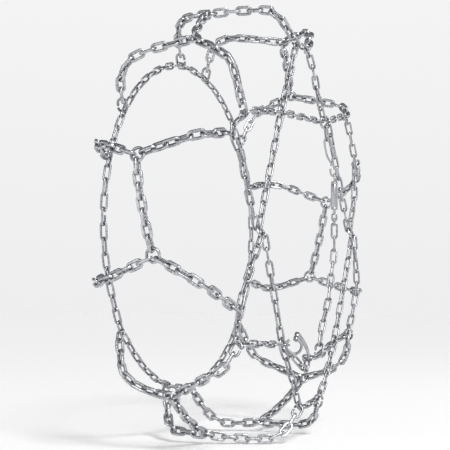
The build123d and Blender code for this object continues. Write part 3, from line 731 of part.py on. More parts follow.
def out(name, shapes):
    solids = list(shapes)
    shape = solids[0] if len(solids) == 1 else Compound(children=solids)
    export_step(shape, f"parts/{name}.step")


os.makedirs("parts", exist_ok=True)

MASTERS = {
    "tread": square_link(TREAD_LENGTH, TREAD_WIDTH, TREAD_WIRE, TREAD_CORNER),
    "side": wire_link(SIDE_LENGTH, SIDE_WIDTH, SIDE_WIRE),
    "small": wire_link(SMALL_LENGTH, SMALL_WIDTH, SMALL_WIRE),
    "hook": wire_link(HOOK_LENGTH, HOOK_WIDTH, HOOK_WIRE, (7.0 - HOOK_MOUTH, 7.0)),
    "open": wire_link(SIDE_LENGTH, SIDE_WIDTH, SIDE_WIRE, (11.0 - CLOSING_MOUTH, 11.0)),
    "ring": Torus(RING_RADIUS, RING_WIRE / 2).solid(),
}

nodes = {}
for node, kind, rows in PLACES:
    nodes.setdefault(node, []).extend(placed(MASTERS[kind], row) for row in rows)
for node, solids in nodes.items():
    out(node, solids)

# tensioner, built upright on the tube's axis
def upright(z):
    return Location((TUBE_X, TUBE_Y, z))


def eye(size, z, normal):
    master = wire_link(size[2], size[1], size[0])
    return Location(Plane(origin=(TUBE_X, TUBE_Y, z), x_dir=(0, 0, 1), z_dir=normal)) * master


tube = upright((TUBE_BOTTOM + TUBE_TOP) / 2) * Cylinder(TUBE_RADIUS, TUBE_TOP - TUBE_BOTTOM)
tube = chamfer(tube.edges(), 0.8)
tube -= upright((TUBE_BOTTOM - 1 + BORE_TOP) / 2) * Cylinder(BORE_RADIUS, BORE_TOP - TUBE_BOTTOM + 1)
tube += eye(TUBE_EYE, TUBE_EYE_Z, (0.3304, -0.9439, 0.0))
out("tensioner_housing", [tube.solid()])

cap = upright((CAP_LOW + CAP_HIGH) / 2) * Cylinder(CAP_RADIUS, CAP_HIGH - CAP_LOW)
cap += upright((CAP_LOW + TUBE_BOTTOM) / 2) * Cylinder(CAP_FLANGE, TUBE_BOTTOM - CAP_LOW)
cap -= upright((CAP_LOW + CAP_HIGH) / 2) * Cylinder(ROD_RADIUS + ROD_FIT, 40)
out("tensioner_end_cap", [cap.solid()])

rod_low = ROD_EYE_Z + ROD_EYE[2] / 2 - ROD_EYE[0] / 2
rod = upright((rod_low + PISTON_HIGH) / 2) * Cylinder(ROD_RADIUS, PISTON_HIGH - rod_low)
piston = upright((PISTON_LOW + PISTON_HIGH) / 2) * Cylinder(PISTON_RADIUS, PISTON_HIGH - PISTON_LOW)
rod += chamfer(piston.edges(), 0.6)
rod += eye(ROD_EYE, ROD_EYE_Z, (0.9326, 0.361, 0.0))
out("tensioner_rod", [rod.solid()])

turn = (SPRING_HIGH - SPRING_LOW) / SPRING_TURNS
coil = Helix(pitch=turn, height=SPRING_HIGH - SPRING_LOW, radius=SPRING_RADIUS)
spring = sweep(Plane(origin=coil @ 0, z_dir=coil % 0) * Circle(SPRING_WIRE / 2), path=coil, is_frenet=True)
out("tensioner_spring", [(upright(SPRING_LOW) * spring).solid()])

# figure-of-eight hook: x along the hook from its foot, y across, z through
L = FIG_LENGTH
eight = Spline(
    (22, -6.4, 0.8), (11, -8.2, 0), (3.0, -5.8, 0), (0.35, 0, 0), (3.0, 5.8, 0), (11, 8.2, 0), (24, 5.4, -1.6), (36, 0, -3.2),
    (48, -5.6, -1.8), (64, -9.0, 0), (L - 16, -9.0, 0), (L - 4.5, -6.4, 0), (L, 0, 0), (L - 4.5, 6.4, 0), (L - 16, 9.0, 0),
    (64, 9.0, 0), (48, 5.6, 1.8), (36, 0, 3.2), (29.5, -4.2, 3.8),
)
hook = sweep(Plane(origin=eight @ 0, z_dir=eight % 0) * Circle(FIG_WIRE / 2), path=eight)
out("tensioner_hook", [(Location(Plane(origin=FIG_FOOT, x_dir=FIG_DIR, z_dir=FIG_NORMAL)) * hook).solid()])

# closing lever: x along the lever, y towards the tyre, z along the pin
lever_at = Location(Plane(origin=PIVOT, x_dir=LEVER_DIR, z_dir=PIN_DIR))
tip = CLAW_REACH + CLAW_RADIUS
blade_line = [
    ThreePointArc((0, -6.2), (tip / 2, -11.5), (tip, -4.0)),
    Line((tip, -4.0), (tip, 0.0)),
    ThreePointArc((tip, 0.0), (tip / 2, -7.5), (0, -2.2)),
    Line((0, -2.2), (0, -6.2)),
]
blade = extrude(make_face(Wire(blade_line)), LEVER_WIDTH / 2, both=True)
corners = [e for e in blade.edges().filter_by(Axis.Y) if e.center().X > tip - 1]
blade = chamfer(corners, 3.6)
blade += Cylinder(KNUCKLE_RADIUS, LEVER_WIDTH)
claw = Cylinder(CLAW_RADIUS, CLAW_LENGTH)
claw = chamfer(claw.edges().sort_by(Axis.Z)[-1:], 1.2)
blade += Location((CLAW_REACH, CLAW_END - CLAW_LENGTH / 2, 0), (-90, 0, 0)) * claw
blade -= Cylinder(PIN_RADIUS + PIN_FIT, 40)
out("closing_lever", [(lever_at * blade).solid()])

pin = Location((0, 0, -4.05)) * Cylinder(PIN_RADIUS, 24.5)
for z in (-15.6, 7.65):
    pin += Location((0, 0, z)) * Cylinder(5.0, 1.5)
out("lever_pin", [(lever_at * pin).solid()])

ring_plane = Plane(origin=SHACKLE_CENTRE, x_dir=SHACKLE_ACROSS, z_dir=Vector(*SHACKLE_ACROSS).cross(Vector(0, 0, 1)))
bow = CenterArc((0, 0), SHACKLE_RADIUS, SHACKLE_START, SHACKLE_END - SHACKLE_START)
bow_body = sweep(Plane(origin=bow @ 0, z_dir=bow % 0) * Circle(SHACKLE_WIRE / 2), path=bow)
shackle = Location(ring_plane) * bow_body
boss = lever_at * (Location((0, 0, -BOSS_OFFSET)) * Cylinder(BOSS_RADIUS, 2 * BOSS_HALF))
shackle += boss
shackle -= lever_at * Cylinder(PIN_RADIUS, 80)
shackle -= lever_at * (Location((0, 0, -BOSS_OFFSET - BOSS_HALF - 5)) * Cylinder(5.3, 10))
shackle -= lever_at * (Location((0, 0, -BOSS_OFFSET + BOSS_HALF + 5)) * Cylinder(KNUCKLE_RADIUS + 0.6, 10))
out("closing_shackle", [shackle.solid()])
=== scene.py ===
import bpy
import json
import math
import numpy as np
from mathutils import Matrix, Vector, Euler


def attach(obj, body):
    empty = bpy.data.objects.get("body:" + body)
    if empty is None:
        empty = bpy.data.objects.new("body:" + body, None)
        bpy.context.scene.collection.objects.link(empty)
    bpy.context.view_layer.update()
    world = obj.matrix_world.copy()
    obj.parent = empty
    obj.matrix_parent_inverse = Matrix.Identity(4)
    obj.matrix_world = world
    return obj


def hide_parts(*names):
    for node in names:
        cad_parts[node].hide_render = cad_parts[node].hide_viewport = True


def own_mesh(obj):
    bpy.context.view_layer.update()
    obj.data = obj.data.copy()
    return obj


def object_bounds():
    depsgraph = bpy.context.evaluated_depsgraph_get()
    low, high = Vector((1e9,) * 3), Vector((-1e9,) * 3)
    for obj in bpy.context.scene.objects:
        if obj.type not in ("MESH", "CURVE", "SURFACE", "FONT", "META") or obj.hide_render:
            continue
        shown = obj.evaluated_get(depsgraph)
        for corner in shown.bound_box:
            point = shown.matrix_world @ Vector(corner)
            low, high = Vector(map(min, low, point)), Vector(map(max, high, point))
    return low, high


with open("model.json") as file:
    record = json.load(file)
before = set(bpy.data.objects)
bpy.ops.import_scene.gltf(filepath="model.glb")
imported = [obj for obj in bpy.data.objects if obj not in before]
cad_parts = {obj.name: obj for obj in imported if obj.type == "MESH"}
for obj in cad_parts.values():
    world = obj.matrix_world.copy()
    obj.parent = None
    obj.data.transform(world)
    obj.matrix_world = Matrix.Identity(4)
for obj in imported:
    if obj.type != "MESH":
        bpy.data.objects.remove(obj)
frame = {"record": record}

BOUNDS_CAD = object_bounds()
M = 0.001

# Every link, ring and hook of the chain in the shared frame, in millimetres:
# centre x, y, z, long direction x, y, z, flat-side normal x, y, z.
PLACES = [
    ("center_chain_1", "tread", [
        (-545.98, -21.35, -71.62, -0.131, 0.2181, 0.9671, 0.0243, 0.9759, -0.2168),
        (-548.84, -14.98, -42.95, -0.0782, 0.2134, 0.9738, -0.9969, -0.006, -0.0787),
        (-550.6, -8.68, -14.17, -0.0262, 0.2148, 0.9763, 0.0035, -0.9766, 0.2149),
        (-550.43, -2.31, 14.65, 0.0237, 0.2174, 0.9758, 0.9996, 0.0089, -0.0263),
        (-549.13, 4.08, 43.43, 0.0796, 0.216, 0.9732, -0.0132, 0.9764, -0.2156),
        (-545.83, 10.35, 72.08, 0.1301, 0.2072, 0.9696, -0.9913, 0.0062, 0.1317),
        (-541.4, 15.17, 100.84, 0.1829, 0.1378, 0.9734, 0.0139, -0.9904, 0.1376),
    ]),
    ("center_chain_2", "tread", [
        (-335.73, -21.61, 436.47, 0.7694, 0.2258, 0.5975, -0.1815, 0.9742, -0.1344),
        (-312.4, -15.02, 453.3, 0.8021, 0.2204, 0.555, -0.568, -0.0056, 0.823),
        (-288.43, -8.51, 469.23, 0.8299, 0.222, 0.5118, 0.1936, -0.975, 0.109),
        (-263.45, -1.93, 483.5, 0.8547, 0.2246, 0.4679, 0.4783, 0.0091, -0.8781),
        (-237.94, 4.71, 496.79, 0.8798, 0.225, 0.4188, -0.2014, 0.9744, -0.1002),
        (-211.57, 11.29, 508.28, 0.9011, 0.2213, 0.3729, -0.3832, 0.0037, 0.9237),
        (-184.84, 18.15, 518.74, 0.9161, 0.2394, 0.3215, 0.225, -0.9709, 0.0818),
    ]),
    ("center_chain_3", "tread", [
        (208.71, -22.65, 509.55, 0.8979, 0.2518, -0.3612, -0.2326, 0.9678, 0.0964),
        (234.89, -15.61, 497.89, 0.8835, 0.2164, -0.4155, 0.4266, -0.0051, 0.9044),
        (260.74, -9.26, 485.15, 0.8615, 0.2153, -0.4599, 0.1855, -0.9765, -0.1097),
        (285.68, -2.88, 470.71, 0.8353, 0.2172, -0.5051, -0.5191, 0.009, -0.8546),
        (310.04, 3.54, 455.31, 0.8062, 0.2177, -0.5501, -0.1814, 0.976, 0.1204),
        (333.26, 9.92, 438.25, 0.7757, 0.2141, -0.5937, 0.6071, 0.0041, 0.7946),
        (355.85, 16.1, 420.29, 0.7455, 0.207, -0.6335, 0.1595, -0.9783, -0.1321),
    ]),
    ("center_chain_4", "tread", [
        (545.75, -21.83, 73.33, 0.1368, 0.2249, -0.9647, -0.0268, 0.9744, 0.2233),
        (548.71, -15.35, 44.69, 0.0799, 0.2126, -0.9739, 0.9967, -0.0057, 0.0805),
        (550.55, -9.06, 15.92, 0.0308, 0.2143, -0.9763, -0.003, -0.9767, -0.2145),
        (550.47, -2.7, -12.9, -0.0212, 0.2175, -0.9758, -0.9997, 0.0098, 0.0239),
        (549.27, 3.73, -41.68, -0.0749, 0.2181, -0.973, 0.0128, 0.9759, 0.2178),
        (546.07, 10.1, -70.32, -0.127, 0.2135, -0.9687, 0.9916, 0.0042, -0.1291),
        (541.76, 16.48, -98.81, -0.1799, 0.2186, -0.9591, -0.0385, -0.9758, -0.2152),
    ]),
    ("center_chain_5", "tread", [
        (335.37, -21.31, -436.74, -0.7726, 0.2107, -0.5989, 0.1698, 0.9775, 0.1248),
        (311.97, -15.08, -453.6, -0.8039, 0.2136, -0.555, 0.567, -0.0059, -0.8237),
        (287.94, -8.77, -469.53, -0.832, 0.2147, -0.5116, -0.1878, -0.9766, -0.1044),
        (262.9, -2.41, -483.8, -0.8565, 0.2176, -0.4681, -0.4777, 0.0096, 0.8785),
        (237.34, 4.03, -497.09, -0.8817, 0.2181, -0.4183, 0.1952, 0.9759, 0.0975),
        (210.92, 10.4, -508.58, -0.9027, 0.2142, -0.3732, 0.3828, 0.0036, -0.9238),
        (184.12, 17.03, -519.01, -0.9193, 0.2317, -0.3182, -0.2187, -0.9728, -0.0765),
    ]),
    ("center_chain_6", "tread", [
        (-179.68, 26.19, -520.45, -0.9449, -0.0044, 0.3273, -0.0001, 0.9999, 0.0131),
        (-207.25, 25.87, -509.87, -0.9265, -0.0214, 0.3757, -0.376, 0.0112, -0.9266),
        (-234.38, 25.24, -498.23, -0.9042, -0.0216, 0.4266, 0.0147, -0.9997, -0.0194),
        (-260.65, 24.6, -484.75, -0.8809, -0.0218, 0.4728, 0.4731, -0.0117, 0.8809),
        (-286.39, 23.94, -470.28, -0.8536, -0.0232, 0.5204, -0.0135, 0.9997, 0.0223),
        (-311.07, 23.2, -454.06, -0.8248, -0.0276, 0.5647, -0.5651, 0.0127, -0.8249),
        (-335.1, 21.81, -436.93, -0.7927, -0.0582, 0.6068, 0.0371, -0.9982, -0.0473),
    ]),
    ("outer_side_chain_1", "side", [
        (-291.21, -161.38, -14.22, -0.5822, -0.0246, 0.8126, -0.7689, -0.3081, -0.5602),
        (-311.06, -162.19, 13.49, -0.5823, -0.0234, 0.8127, 0.2643, -0.9507, 0.162),
        (-331.09, -162.94, 41.43, -0.5828, -0.0197, 0.8124, 0.7907, 0.2168, 0.5725),
        (-351.6, -164.56, 70.11, -0.5799, -0.0653, 0.8121, -0.1367, 0.9904, -0.0179),
        (-372.07, -167.23, 98.74, -0.5786, -0.0893, 0.8107, -0.8129, -0.0172, -0.5821),
        (-392.47, -168.26, 127.48, -0.5791, 0.0137, 0.8151, -0.0816, -0.9958, -0.0412),
        (-414.59, -166.65, 154.86, -0.6601, 0.0813, 0.7467, 0.7314, -0.157, 0.6637),
        (-426.13, -164.03, 184.35, 0.2043, 0.0303, 0.9784, -0.1497, -0.9868, 0.0618),
        (-405.37, -165.44, 209.65, 0.8255, -0.0738, 0.5595, -0.5446, 0.1556, 0.8241),
        (-375.59, -167.74, 228.42, 0.867, -0.0554, 0.4952, -0.0962, -0.9937, 0.0572),
        (-342.79, -169.03, 240.53, 0.9718, 0.0073, 0.2358, -0.2353, 0.1038, 0.9664),
        (-309.12, -168.73, 246.43, 0.9926, 0.0096, 0.1207, 0.0376, -0.9719, -0.2323),
        (-276.54, -168.33, 250.52, 0.9915, 0.0154, 0.1289, 0.1001, 0.5415, -0.8347),
        (-244.02, -167.88, 254.74, 0.9916, 0.0118, 0.1287, -0.1081, 0.621, 0.7763),
        (-211.5, -167.5, 258.96, 0.9916, 0.0113, 0.1287, -0.0337, -0.9392, 0.3418),
        (-178.93, -167.13, 263.19, 0.9916, 0.0111, 0.1287, 0.1287, -0, -0.9917),
    ]),
    ("outer_side_chain_2", "side", [
        (-140.18, -166.99, 290.18, 0.4522, 0.0007, 0.8919, -0.8919, -0, 0.4522),
        (-125.68, -166.91, 318.78, 0.4522, 0.0036, 0.8919, -0.3167, -0.9342, 0.1643),
        (-111.18, -167.02, 347.38, 0.4522, -0.0045, 0.8919, 0.6807, -0.6445, -0.3484),
        (-96.7, -168.07, 375.94, 0.4516, -0.0591, 0.8902, 0.785, 0.5006, -0.365),
        (-82.27, -168.59, 404.53, 0.4496, 0.0055, 0.8932, -0.1595, 0.9844, 0.0742),
        (-67.11, -168.02, 431.86, 0.5422, 0.0443, 0.8391, -0.832, 0.1675, 0.5288),
        (-43.68, -165.23, 453.46, 0.8977, 0.0646, 0.4357, -0.0168, -0.9834, 0.1805),
        (-9.91, -164.72, 458.08, 0.9963, -0.0063, -0.0854, 0.0851, 0.1776, 0.9804),
        (23.85, -165.43, 450.89, 0.899, -0.0533, -0.4348, 0.0225, -0.9856, 0.1673),
        (46.23, -168.53, 428.08, 0.5851, -0.0438, -0.8098, 0.8071, 0.1283, 0.5763),
        (64.95, -168.82, 403.21, 0.6102, 0.0105, -0.7922, 0.2765, -0.9399, 0.2006),
        (83.84, -167.93, 378.71, 0.6092, 0.0622, -0.7906, -0.6502, -0.5316, -0.5429),
        (102.75, -166.33, 354.23, 0.6119, 0.0407, -0.7899, -0.5741, 0.7099, -0.4081),
        (121.69, -165.25, 329.74, 0.6115, 0.0277, -0.7907, 0.4172, 0.8378, 0.3521),
        (140.53, -164.75, 305.16, 0.6064, 0.0082, -0.7951, 0.75, -0.338, 0.5685),
    ]),
    ("outer_side_chain_3", "side", [
        (178.94, -173.7, 291.84, 0.9777, 0.0519, 0.2034, -0.2079, 0.1055, 0.9724),
        (210.56, -171.89, 299.12, 0.9702, 0.0577, 0.2354, 0.0269, -0.9909, 0.1319),
        (242.04, -170.49, 306.77, 0.9711, 0.0353, 0.2362, 0.2388, -0.1356, -0.9615),
        (273.52, -168.99, 314.42, 0.9709, 0.0414, 0.236, -0.0027, 0.9868, -0.1616),
        (304.46, -167.31, 320.91, 0.9875, 0.0693, 0.1413, -0.1512, 0.1685, 0.974),
        (335.64, -164.09, 316.93, 0.8982, 0.0673, -0.4345, 0.1399, -0.9806, 0.1372),
        (360.31, -163.34, 294.78, 0.5679, -0.0123, -0.823, 0.807, 0.2051, 0.5538),
        (378.41, -163.93, 265.22, 0.5002, -0.0178, -0.8657, 0.1596, -0.9808, 0.1124),
        (395.63, -164.46, 234.95, 0.4818, -0.0124, -0.8762, -0.8622, -0.1848, -0.4716),
        (407.98, -164.88, 202.77, 0.1958, -0.054, -0.9792, 0.1717, -0.9812, 0.0884),
        (407.69, -167.34, 171.51, -0.1719, -0.0572, -0.9834, 0.9699, 0.1651, -0.1792),
        (401.11, -168.71, 140.89, -0.2294, -0.0366, -0.9727, 0.4069, -0.9114, -0.0617),
        (393.76, -169.28, 110.17, -0.2376, 0.0035, -0.9714, -0.7563, -0.6282, 0.1827),
        (386.23, -168.77, 79.49, -0.2388, 0.0289, -0.9706, -0.769, 0.6048, 0.2071),
        (379, -166.52, 48.85, -0.2222, 0.1041, -0.9694, 0.388, 0.9216, 0.0101),
        (371.5, -163.18, 18.5, -0.249, 0.0755, -0.9655, 0.9628, -0.0885, -0.2552),
    ]),
    ("outer_side_chain_4", "side", [
        (377.7, -173.74, -31.87, 0.3676, 0.0439, -0.9289, 0.8831, 0.2968, 0.3635),
        (390.37, -171.76, -64.12, 0.3576, 0.0483, -0.9326, 0.6233, -0.756, 0.1998),
        (402.97, -169.95, -96.09, 0.3573, 0.0539, -0.9324, -0.352, -0.9169, -0.1879),
        (414.76, -168.18, -128.43, 0.3228, 0.0607, -0.9445, -0.9449, -0.0368, -0.3253),
        (419.36, -166.24, -162.43, -0.1399, 0.0341, -0.9896, 0.149, -0.9873, -0.0551),
        (407.4, -166, -195.1, -0.4771, -0.001, -0.8788, 0.8667, 0.1654, -0.4707),
        (388.98, -166.33, -225.15, -0.5783, -0.015, -0.8157, 0.1305, -0.9887, -0.0744),
        (368.12, -166.75, -253.6, -0.6028, -0.0148, -0.7977, -0.7894, -0.1346, 0.599),
        (343.55, -167.49, -277.9, -0.8124, -0.0372, -0.582, 0.1026, -0.9915, -0.0797),
        (314.1, -168.7, -291.16, -0.9694, -0.0331, -0.2431, 0.2373, 0.1252, -0.9633),
        (282.32, -169.4, -297.41, -0.9859, -0.0076, -0.1672, 0.0182, -0.9979, -0.0619),
        (250.03, -169.87, -302.89, -0.9857, -0.0161, -0.1677, -0.1677, -0, 0.9858),
    ]),
    ("outer_side_chain_5", "side", [
        (209.79, -169.8, -327.77, -0.5772, 0.0248, -0.8162, 0.8164, -0.0009, -0.5774),
        (192.71, -169.5, -352.56, -0.561, 0.0019, -0.8278, 0.0385, -0.9989, -0.0284),
        (175.84, -169.11, -377.52, -0.5592, 0.009, -0.829, -0.8262, -0.0881, 0.5564),
        (158.95, -168.15, -402.44, -0.5605, 0.0541, -0.8264, -0.0819, 0.9894, 0.1202),
        (141.54, -166.44, -426.36, -0.6337, 0.0651, -0.7708, 0.7675, 0.1773, -0.616),
        (118.91, -164.17, -445.7, -0.8847, 0.0422, -0.4642, 0.0526, -0.9805, -0.1893),
        (86.61, -163.49, -456.69, -0.9846, 0.004, -0.1748, 0.172, 0.2018, -0.9642),
        (52.14, -163.38, -461.79, -0.9911, 0.0042, -0.1327, 0.0223, -0.98, -0.1976),
        (17.6, -163.24, -465.7, -0.9976, 0.001, -0.0691, -0.0679, -0.2044, 0.9765),
        (-15.71, -164.22, -460.96, -0.9244, -0.0683, 0.3753, -0.0069, -0.9807, -0.1954),
        (-42.05, -167.15, -440.63, -0.6277, -0.0783, 0.7745, -0.7741, 0.1681, -0.6103),
        (-62.34, -168.74, -412.63, -0.565, -0.018, 0.8249, -0.0952, -0.9917, -0.0869),
        (-82.03, -168.46, -384.03, -0.5669, 0.0401, 0.8228, 0.8189, -0.0819, 0.5681),
        (-101.76, -167.3, -355.07, -0.5595, 0.0356, 0.8281, 0.0491, 0.9987, -0.0097),
        (-123.16, -166.39, -327.31, -0.664, 0.0157, 0.7475, -0.7471, 0.0265, -0.6642),
    ]),
    ("outer_side_chain_6", "side", [
        (-167.65, -166.72, -301.92, -0.9985, 0.0055, 0.0538, -0.0531, 0.0859, -0.9949),
        (-202.85, -166.99, -300.16, -0.9991, -0.0111, 0.0417, -0.0052, -0.9283, -0.3718),
        (-237.99, -167.76, -298.44, -0.9985, -0.0377, 0.0406, 0.0554, -0.6504, 0.7576),
        (-273.11, -168.51, -296.88, -0.9989, -0.0154, 0.0437, 0.03, 0.5023, 0.8642),
        (-308.25, -167.56, -295.69, -0.9975, 0.0554, 0.044, 0.0457, 0.9791, -0.1981),
        (-343.3, -164.67, -296.11, -0.9903, 0.1307, -0.0466, 0.0595, 0.0966, -0.9935),
        (-376.42, -160.66, -290.44, -0.8566, 0.0663, 0.5118, -0.1623, -0.976, -0.1452),
        (-390.88, -162.14, -262.04, -0.136, -0.095, 0.9861, -0.9732, 0.1991, -0.115),
        (-392.97, -165.37, -227.06, 0.0422, -0.0926, 0.9948, -0.1438, -0.9859, -0.0857),
        (-384.23, -168.12, -193.51, 0.394, -0.032, 0.9186, -0.9088, 0.1355, 0.3945),
        (-367.48, -169.26, -162.82, 0.5979, -0.0307, 0.801, 0.0806, -0.9919, -0.0983),
        (-346.82, -170.21, -134.55, 0.5789, -0.0248, 0.815, 0.7461, 0.4195, -0.5171),
        (-327.96, -171.03, -107.96, 0.5783, -0.0253, 0.8154, -0.5239, 0.7547, 0.395),
        (-309.1, -171.85, -81.37, 0.5783, -0.0253, 0.8154, -0.4402, -0.8512, 0.2858),
        (-290.24, -172.68, -54.79, 0.5783, -0.0253, 0.8154, 0.7719, -0.3064, -0.557),
    ]),
    ("outer_cross_arms_1", "tread", [
        (-534, -7.32, 135.01, 0.0805, -0.9509, 0.2988, 0.3204, 0.3086, 0.8956),
        (-531.22, -35.41, 143.4, 0.0987, -0.9582, 0.2685, -0.8916, 0.0347, 0.4515),
        (-527.89, -63.52, 151.21, 0.136, -0.9579, 0.2527, -0.582, -0.2837, -0.7621),
        (-523.68, -91.53, 158.55, 0.1481, -0.9563, 0.2521, 0.6738, -0.089, -0.7335),
        (-515.62, -118.18, 166.61, 0.3876, -0.8974, 0.2109, 0.8057, 0.4409, 0.3955),
        (-498.08, -139.83, 169.12, 0.8555, -0.4961, 0.1483, -0.3769, -0.4002, 0.8354),
        (-471.6, -151.48, 174.3, 0.9333, -0.3241, 0.1546, -0.2295, -0.8696, -0.4372),
        (-538.75, -48.65, -111.84, 0.112, -0.8707, -0.4789, -0.1561, -0.4914, 0.8568),
        (-534.97, -73.54, -125.37, 0.1115, -0.8768, -0.4677, -0.9719, 0.002, -0.2354),
        (-529.92, -97.02, -139.01, 0.2523, -0.8269, -0.5025, 0.2454, 0.557, -0.7934),
        (-519.49, -119.88, -153.14, 0.4024, -0.7471, -0.5291, 0.9073, 0.2481, 0.3396),
        (-505.03, -138.67, -167.05, 0.7614, -0.4837, -0.4315, 0.134, -0.5338, 0.8349),
        (-481.26, -147.85, -178.67, 0.8617, -0.2569, -0.4376, -0.4244, -0.8376, -0.3439),
        (-456.93, -154.77, -191.1, 0.8802, -0.2114, -0.4249, -0.2883, 0.473, -0.8326),
        (-432.22, -159.94, -202.72, 0.9019, -0.145, -0.4068, 0.3111, 0.8715, 0.3791),
    ]),
    ("outer_cross_arms_2", "tread", [
        (-149.87, 0.53, 530.13, 0.354, -0.9281, 0.1155, 0.8912, 0.3722, 0.2592),
        (-139.48, -26.96, 532.83, 0.345, -0.9353, 0.0784, -0.3009, -0.0311, 0.9531),
        (-131.15, -55.19, 534.1, 0.2504, -0.9681, 0.0101, -0.9108, -0.239, -0.3367),
        (-125.42, -83.95, 533.58, 0.1118, -0.9929, -0.0394, 0.3712, 0.0785, -0.9252),
        (-121.67, -112.75, 531.9, 0.1505, -0.9795, -0.1339, 0.8895, 0.0751, 0.4507),
        (-112, -135.06, 518.82, 0.4869, -0.6694, -0.5611, -0.4026, -0.7421, 0.5359),
        (-95.93, -150.02, 501.17, 0.6631, -0.2688, -0.6986, -0.7118, 0.0623, -0.6996),
        (-75.57, -157.14, 481.77, 0.74, -0.214, -0.6377, 0.2534, 0.9669, -0.0305),
        (-367.73, -48.45, 409.34, -0.4027, -0.8352, -0.3746, 0.6356, -0.5496, 0.5422),
        (-378.98, -72.88, 398.04, -0.3882, -0.8423, -0.374, -0.693, -0.0007, 0.721),
        (-388.83, -96.56, 386.04, -0.3001, -0.8293, -0.4715, -0.5646, 0.5528, -0.613),
        (-394.14, -120.44, 370.25, -0.139, -0.8088, -0.5714, 0.7522, 0.2891, -0.5922),
        (-395.25, -140.7, 351.67, 0.1564, -0.4988, -0.8525, 0.8154, -0.4219, 0.3964),
        (-390.56, -150.34, 325.48, 0.0934, -0.2516, -0.9633, -0.4794, -0.8594, 0.178),
        (-387.79, -157.1, 298.1, 0.1217, -0.1838, -0.9754, -0.8823, 0.4302, -0.1911),
        (-383.1, -161.91, 270.87, 0.2073, -0.1644, -0.9644, 0.4416, 0.8953, -0.0577),
    ]),
    ("outer_cross_arms_3", "tread", [
        (382.89, -2.32, 396.15, 0.2238, -0.9549, -0.1953, 0.6798, 0.2965, -0.6708),
        (389, -30.4, 390.14, 0.1951, -0.9602, -0.2001, 0.805, 0.0403, 0.5919),
        (394.22, -58.64, 384.2, 0.148, -0.9661, -0.2117, -0.4146, -0.2549, 0.8735),
        (397.17, -86.97, 377.45, 0.0739, -0.9698, -0.2325, -0.9672, -0.0129, -0.2537),
        (398.22, -114.73, 369.24, -0.0544, -0.9498, -0.3082, -0.0088, 0.3091, -0.951),
        (387.73, -138.37, 357.91, -0.5026, -0.6596, -0.5589, 0.8288, -0.5515, -0.0945),
        (370.14, -152.74, 341.17, -0.8267, -0.2805, -0.4877, -0.1411, -0.7358, 0.6624),
        (171.83, -53.15, 522.44, -0.4713, -0.8724, 0.1297, 0.7865, -0.4822, -0.3859),
        (157.7, -78.75, 525.51, -0.484, -0.8707, 0.0878, 0.4938, -0.189, 0.8488),
        (142.76, -103.66, 527.31, -0.564, -0.8257, 0.0086, -0.5864, 0.4079, 0.6998),
        (123.93, -125.06, 523.69, -0.6927, -0.6921, -0.2028, -0.5439, 0.686, -0.4832),
        (104.52, -141.95, 513.13, -0.7888, -0.3798, -0.4833, 0.4386, 0.2029, -0.8755),
        (81.4, -150.96, 498.26, -0.7836, -0.2525, -0.5677, 0.4608, -0.8491, -0.2583),
        (59.17, -157.61, 480.66, -0.7605, -0.2093, -0.6146, -0.3542, -0.6596, 0.6629),
    ]),
    ("outer_cross_arms_4", "tread", [
        (534.42, -1.02, -133.67, -0.0643, -0.9576, -0.2807, -0.223, 0.2879, -0.9313),
        (532.33, -27.54, -141.35, -0.0486, -0.9577, -0.2837, 0.9794, 0.0101, -0.2019),
        (530.09, -54.02, -149.03, -0.1006, -0.9565, -0.2739, 0.1607, -0.2873, 0.9443),
        (526.1, -80.31, -156.49, -0.1653, -0.9502, -0.2642, -0.9791, 0.126, 0.1596),
        (521.49, -106.74, -163.8, -0.2273, -0.9473, -0.2256, -0.0403, 0.2406, -0.9698),
        (506.18, -129.47, -167.9, -0.6722, -0.7327, -0.1064, 0.7389, -0.6729, -0.0342),
        (484.73, -147.9, -169.11, -0.8992, -0.4371, -0.0176, -0.0759, 0.1164, 0.9903),
        (459.16, -156.87, -168.55, -0.9672, -0.2427, 0.0755, -0.2532, 0.9462, -0.2017),
        (538.65, -51.52, 111.72, -0.111, -0.8877, 0.4468, 0.1082, -0.4577, -0.8825),
        (534.62, -77.56, 124.75, -0.1525, -0.8844, 0.441, 0.9873, -0.1562, 0.0281),
        (528.83, -102.22, 138.96, -0.2858, -0.8043, 0.521, 0.2794, 0.4501, 0.8481),
        (517.02, -122.61, 154.7, -0.4612, -0.6527, 0.601, -0.6808, 0.6947, 0.2322),
        (500.53, -139.06, 168.89, -0.7247, -0.4222, 0.5446, -0.6473, 0.1461, -0.7481),
        (477.83, -148.99, 183.31, -0.8813, -0.2558, 0.3973, 0.0047, -0.8455, -0.5339),
        (451.33, -155.77, 193.04, -0.929, -0.2351, 0.2858, 0.3673, -0.6801, 0.6345),
    ]),
    ("outer_cross_arms_5", "tread", [
        (155.62, -2.4, -528.5, -0.1067, -0.9932, -0.0459, -0.952, 0.1154, -0.2836),
        (152.4, -30.84, -529.47, -0.105, -0.9934, -0.0469, 0.1147, 0.0348, -0.9928),
        (149.38, -59.1, -529.73, -0.1058, -0.9941, 0.022, 0.9919, -0.1071, -0.068),
        (146.79, -87.85, -528.04, -0.0895, -0.9915, 0.0943, 0.2721, 0.0667, 0.96),
        (142.79, -115.64, -523.47, -0.131, -0.955, 0.2662, -0.8243, 0.2541, 0.5059),
        (139.26, -139.28, -508.34, -0.2515, -0.6451, 0.7216, -0.5213, -0.5378, -0.6625),
        (130.66, -152.86, -485, -0.2215, -0.2998, 0.9279, 0.5713, -0.8111, -0.1256),
        (364.89, -49.71, -411.76, 0.2963, -0.9112, 0.2862, -0.6962, -0.4112, -0.5884),
        (372.84, -74.81, -403.46, 0.2973, -0.9107, 0.2866, 0.5273, -0.0937, -0.8445),
        (380.46, -99.36, -393.88, 0.2509, -0.8684, 0.4277, 0.8784, 0.3899, 0.2763),
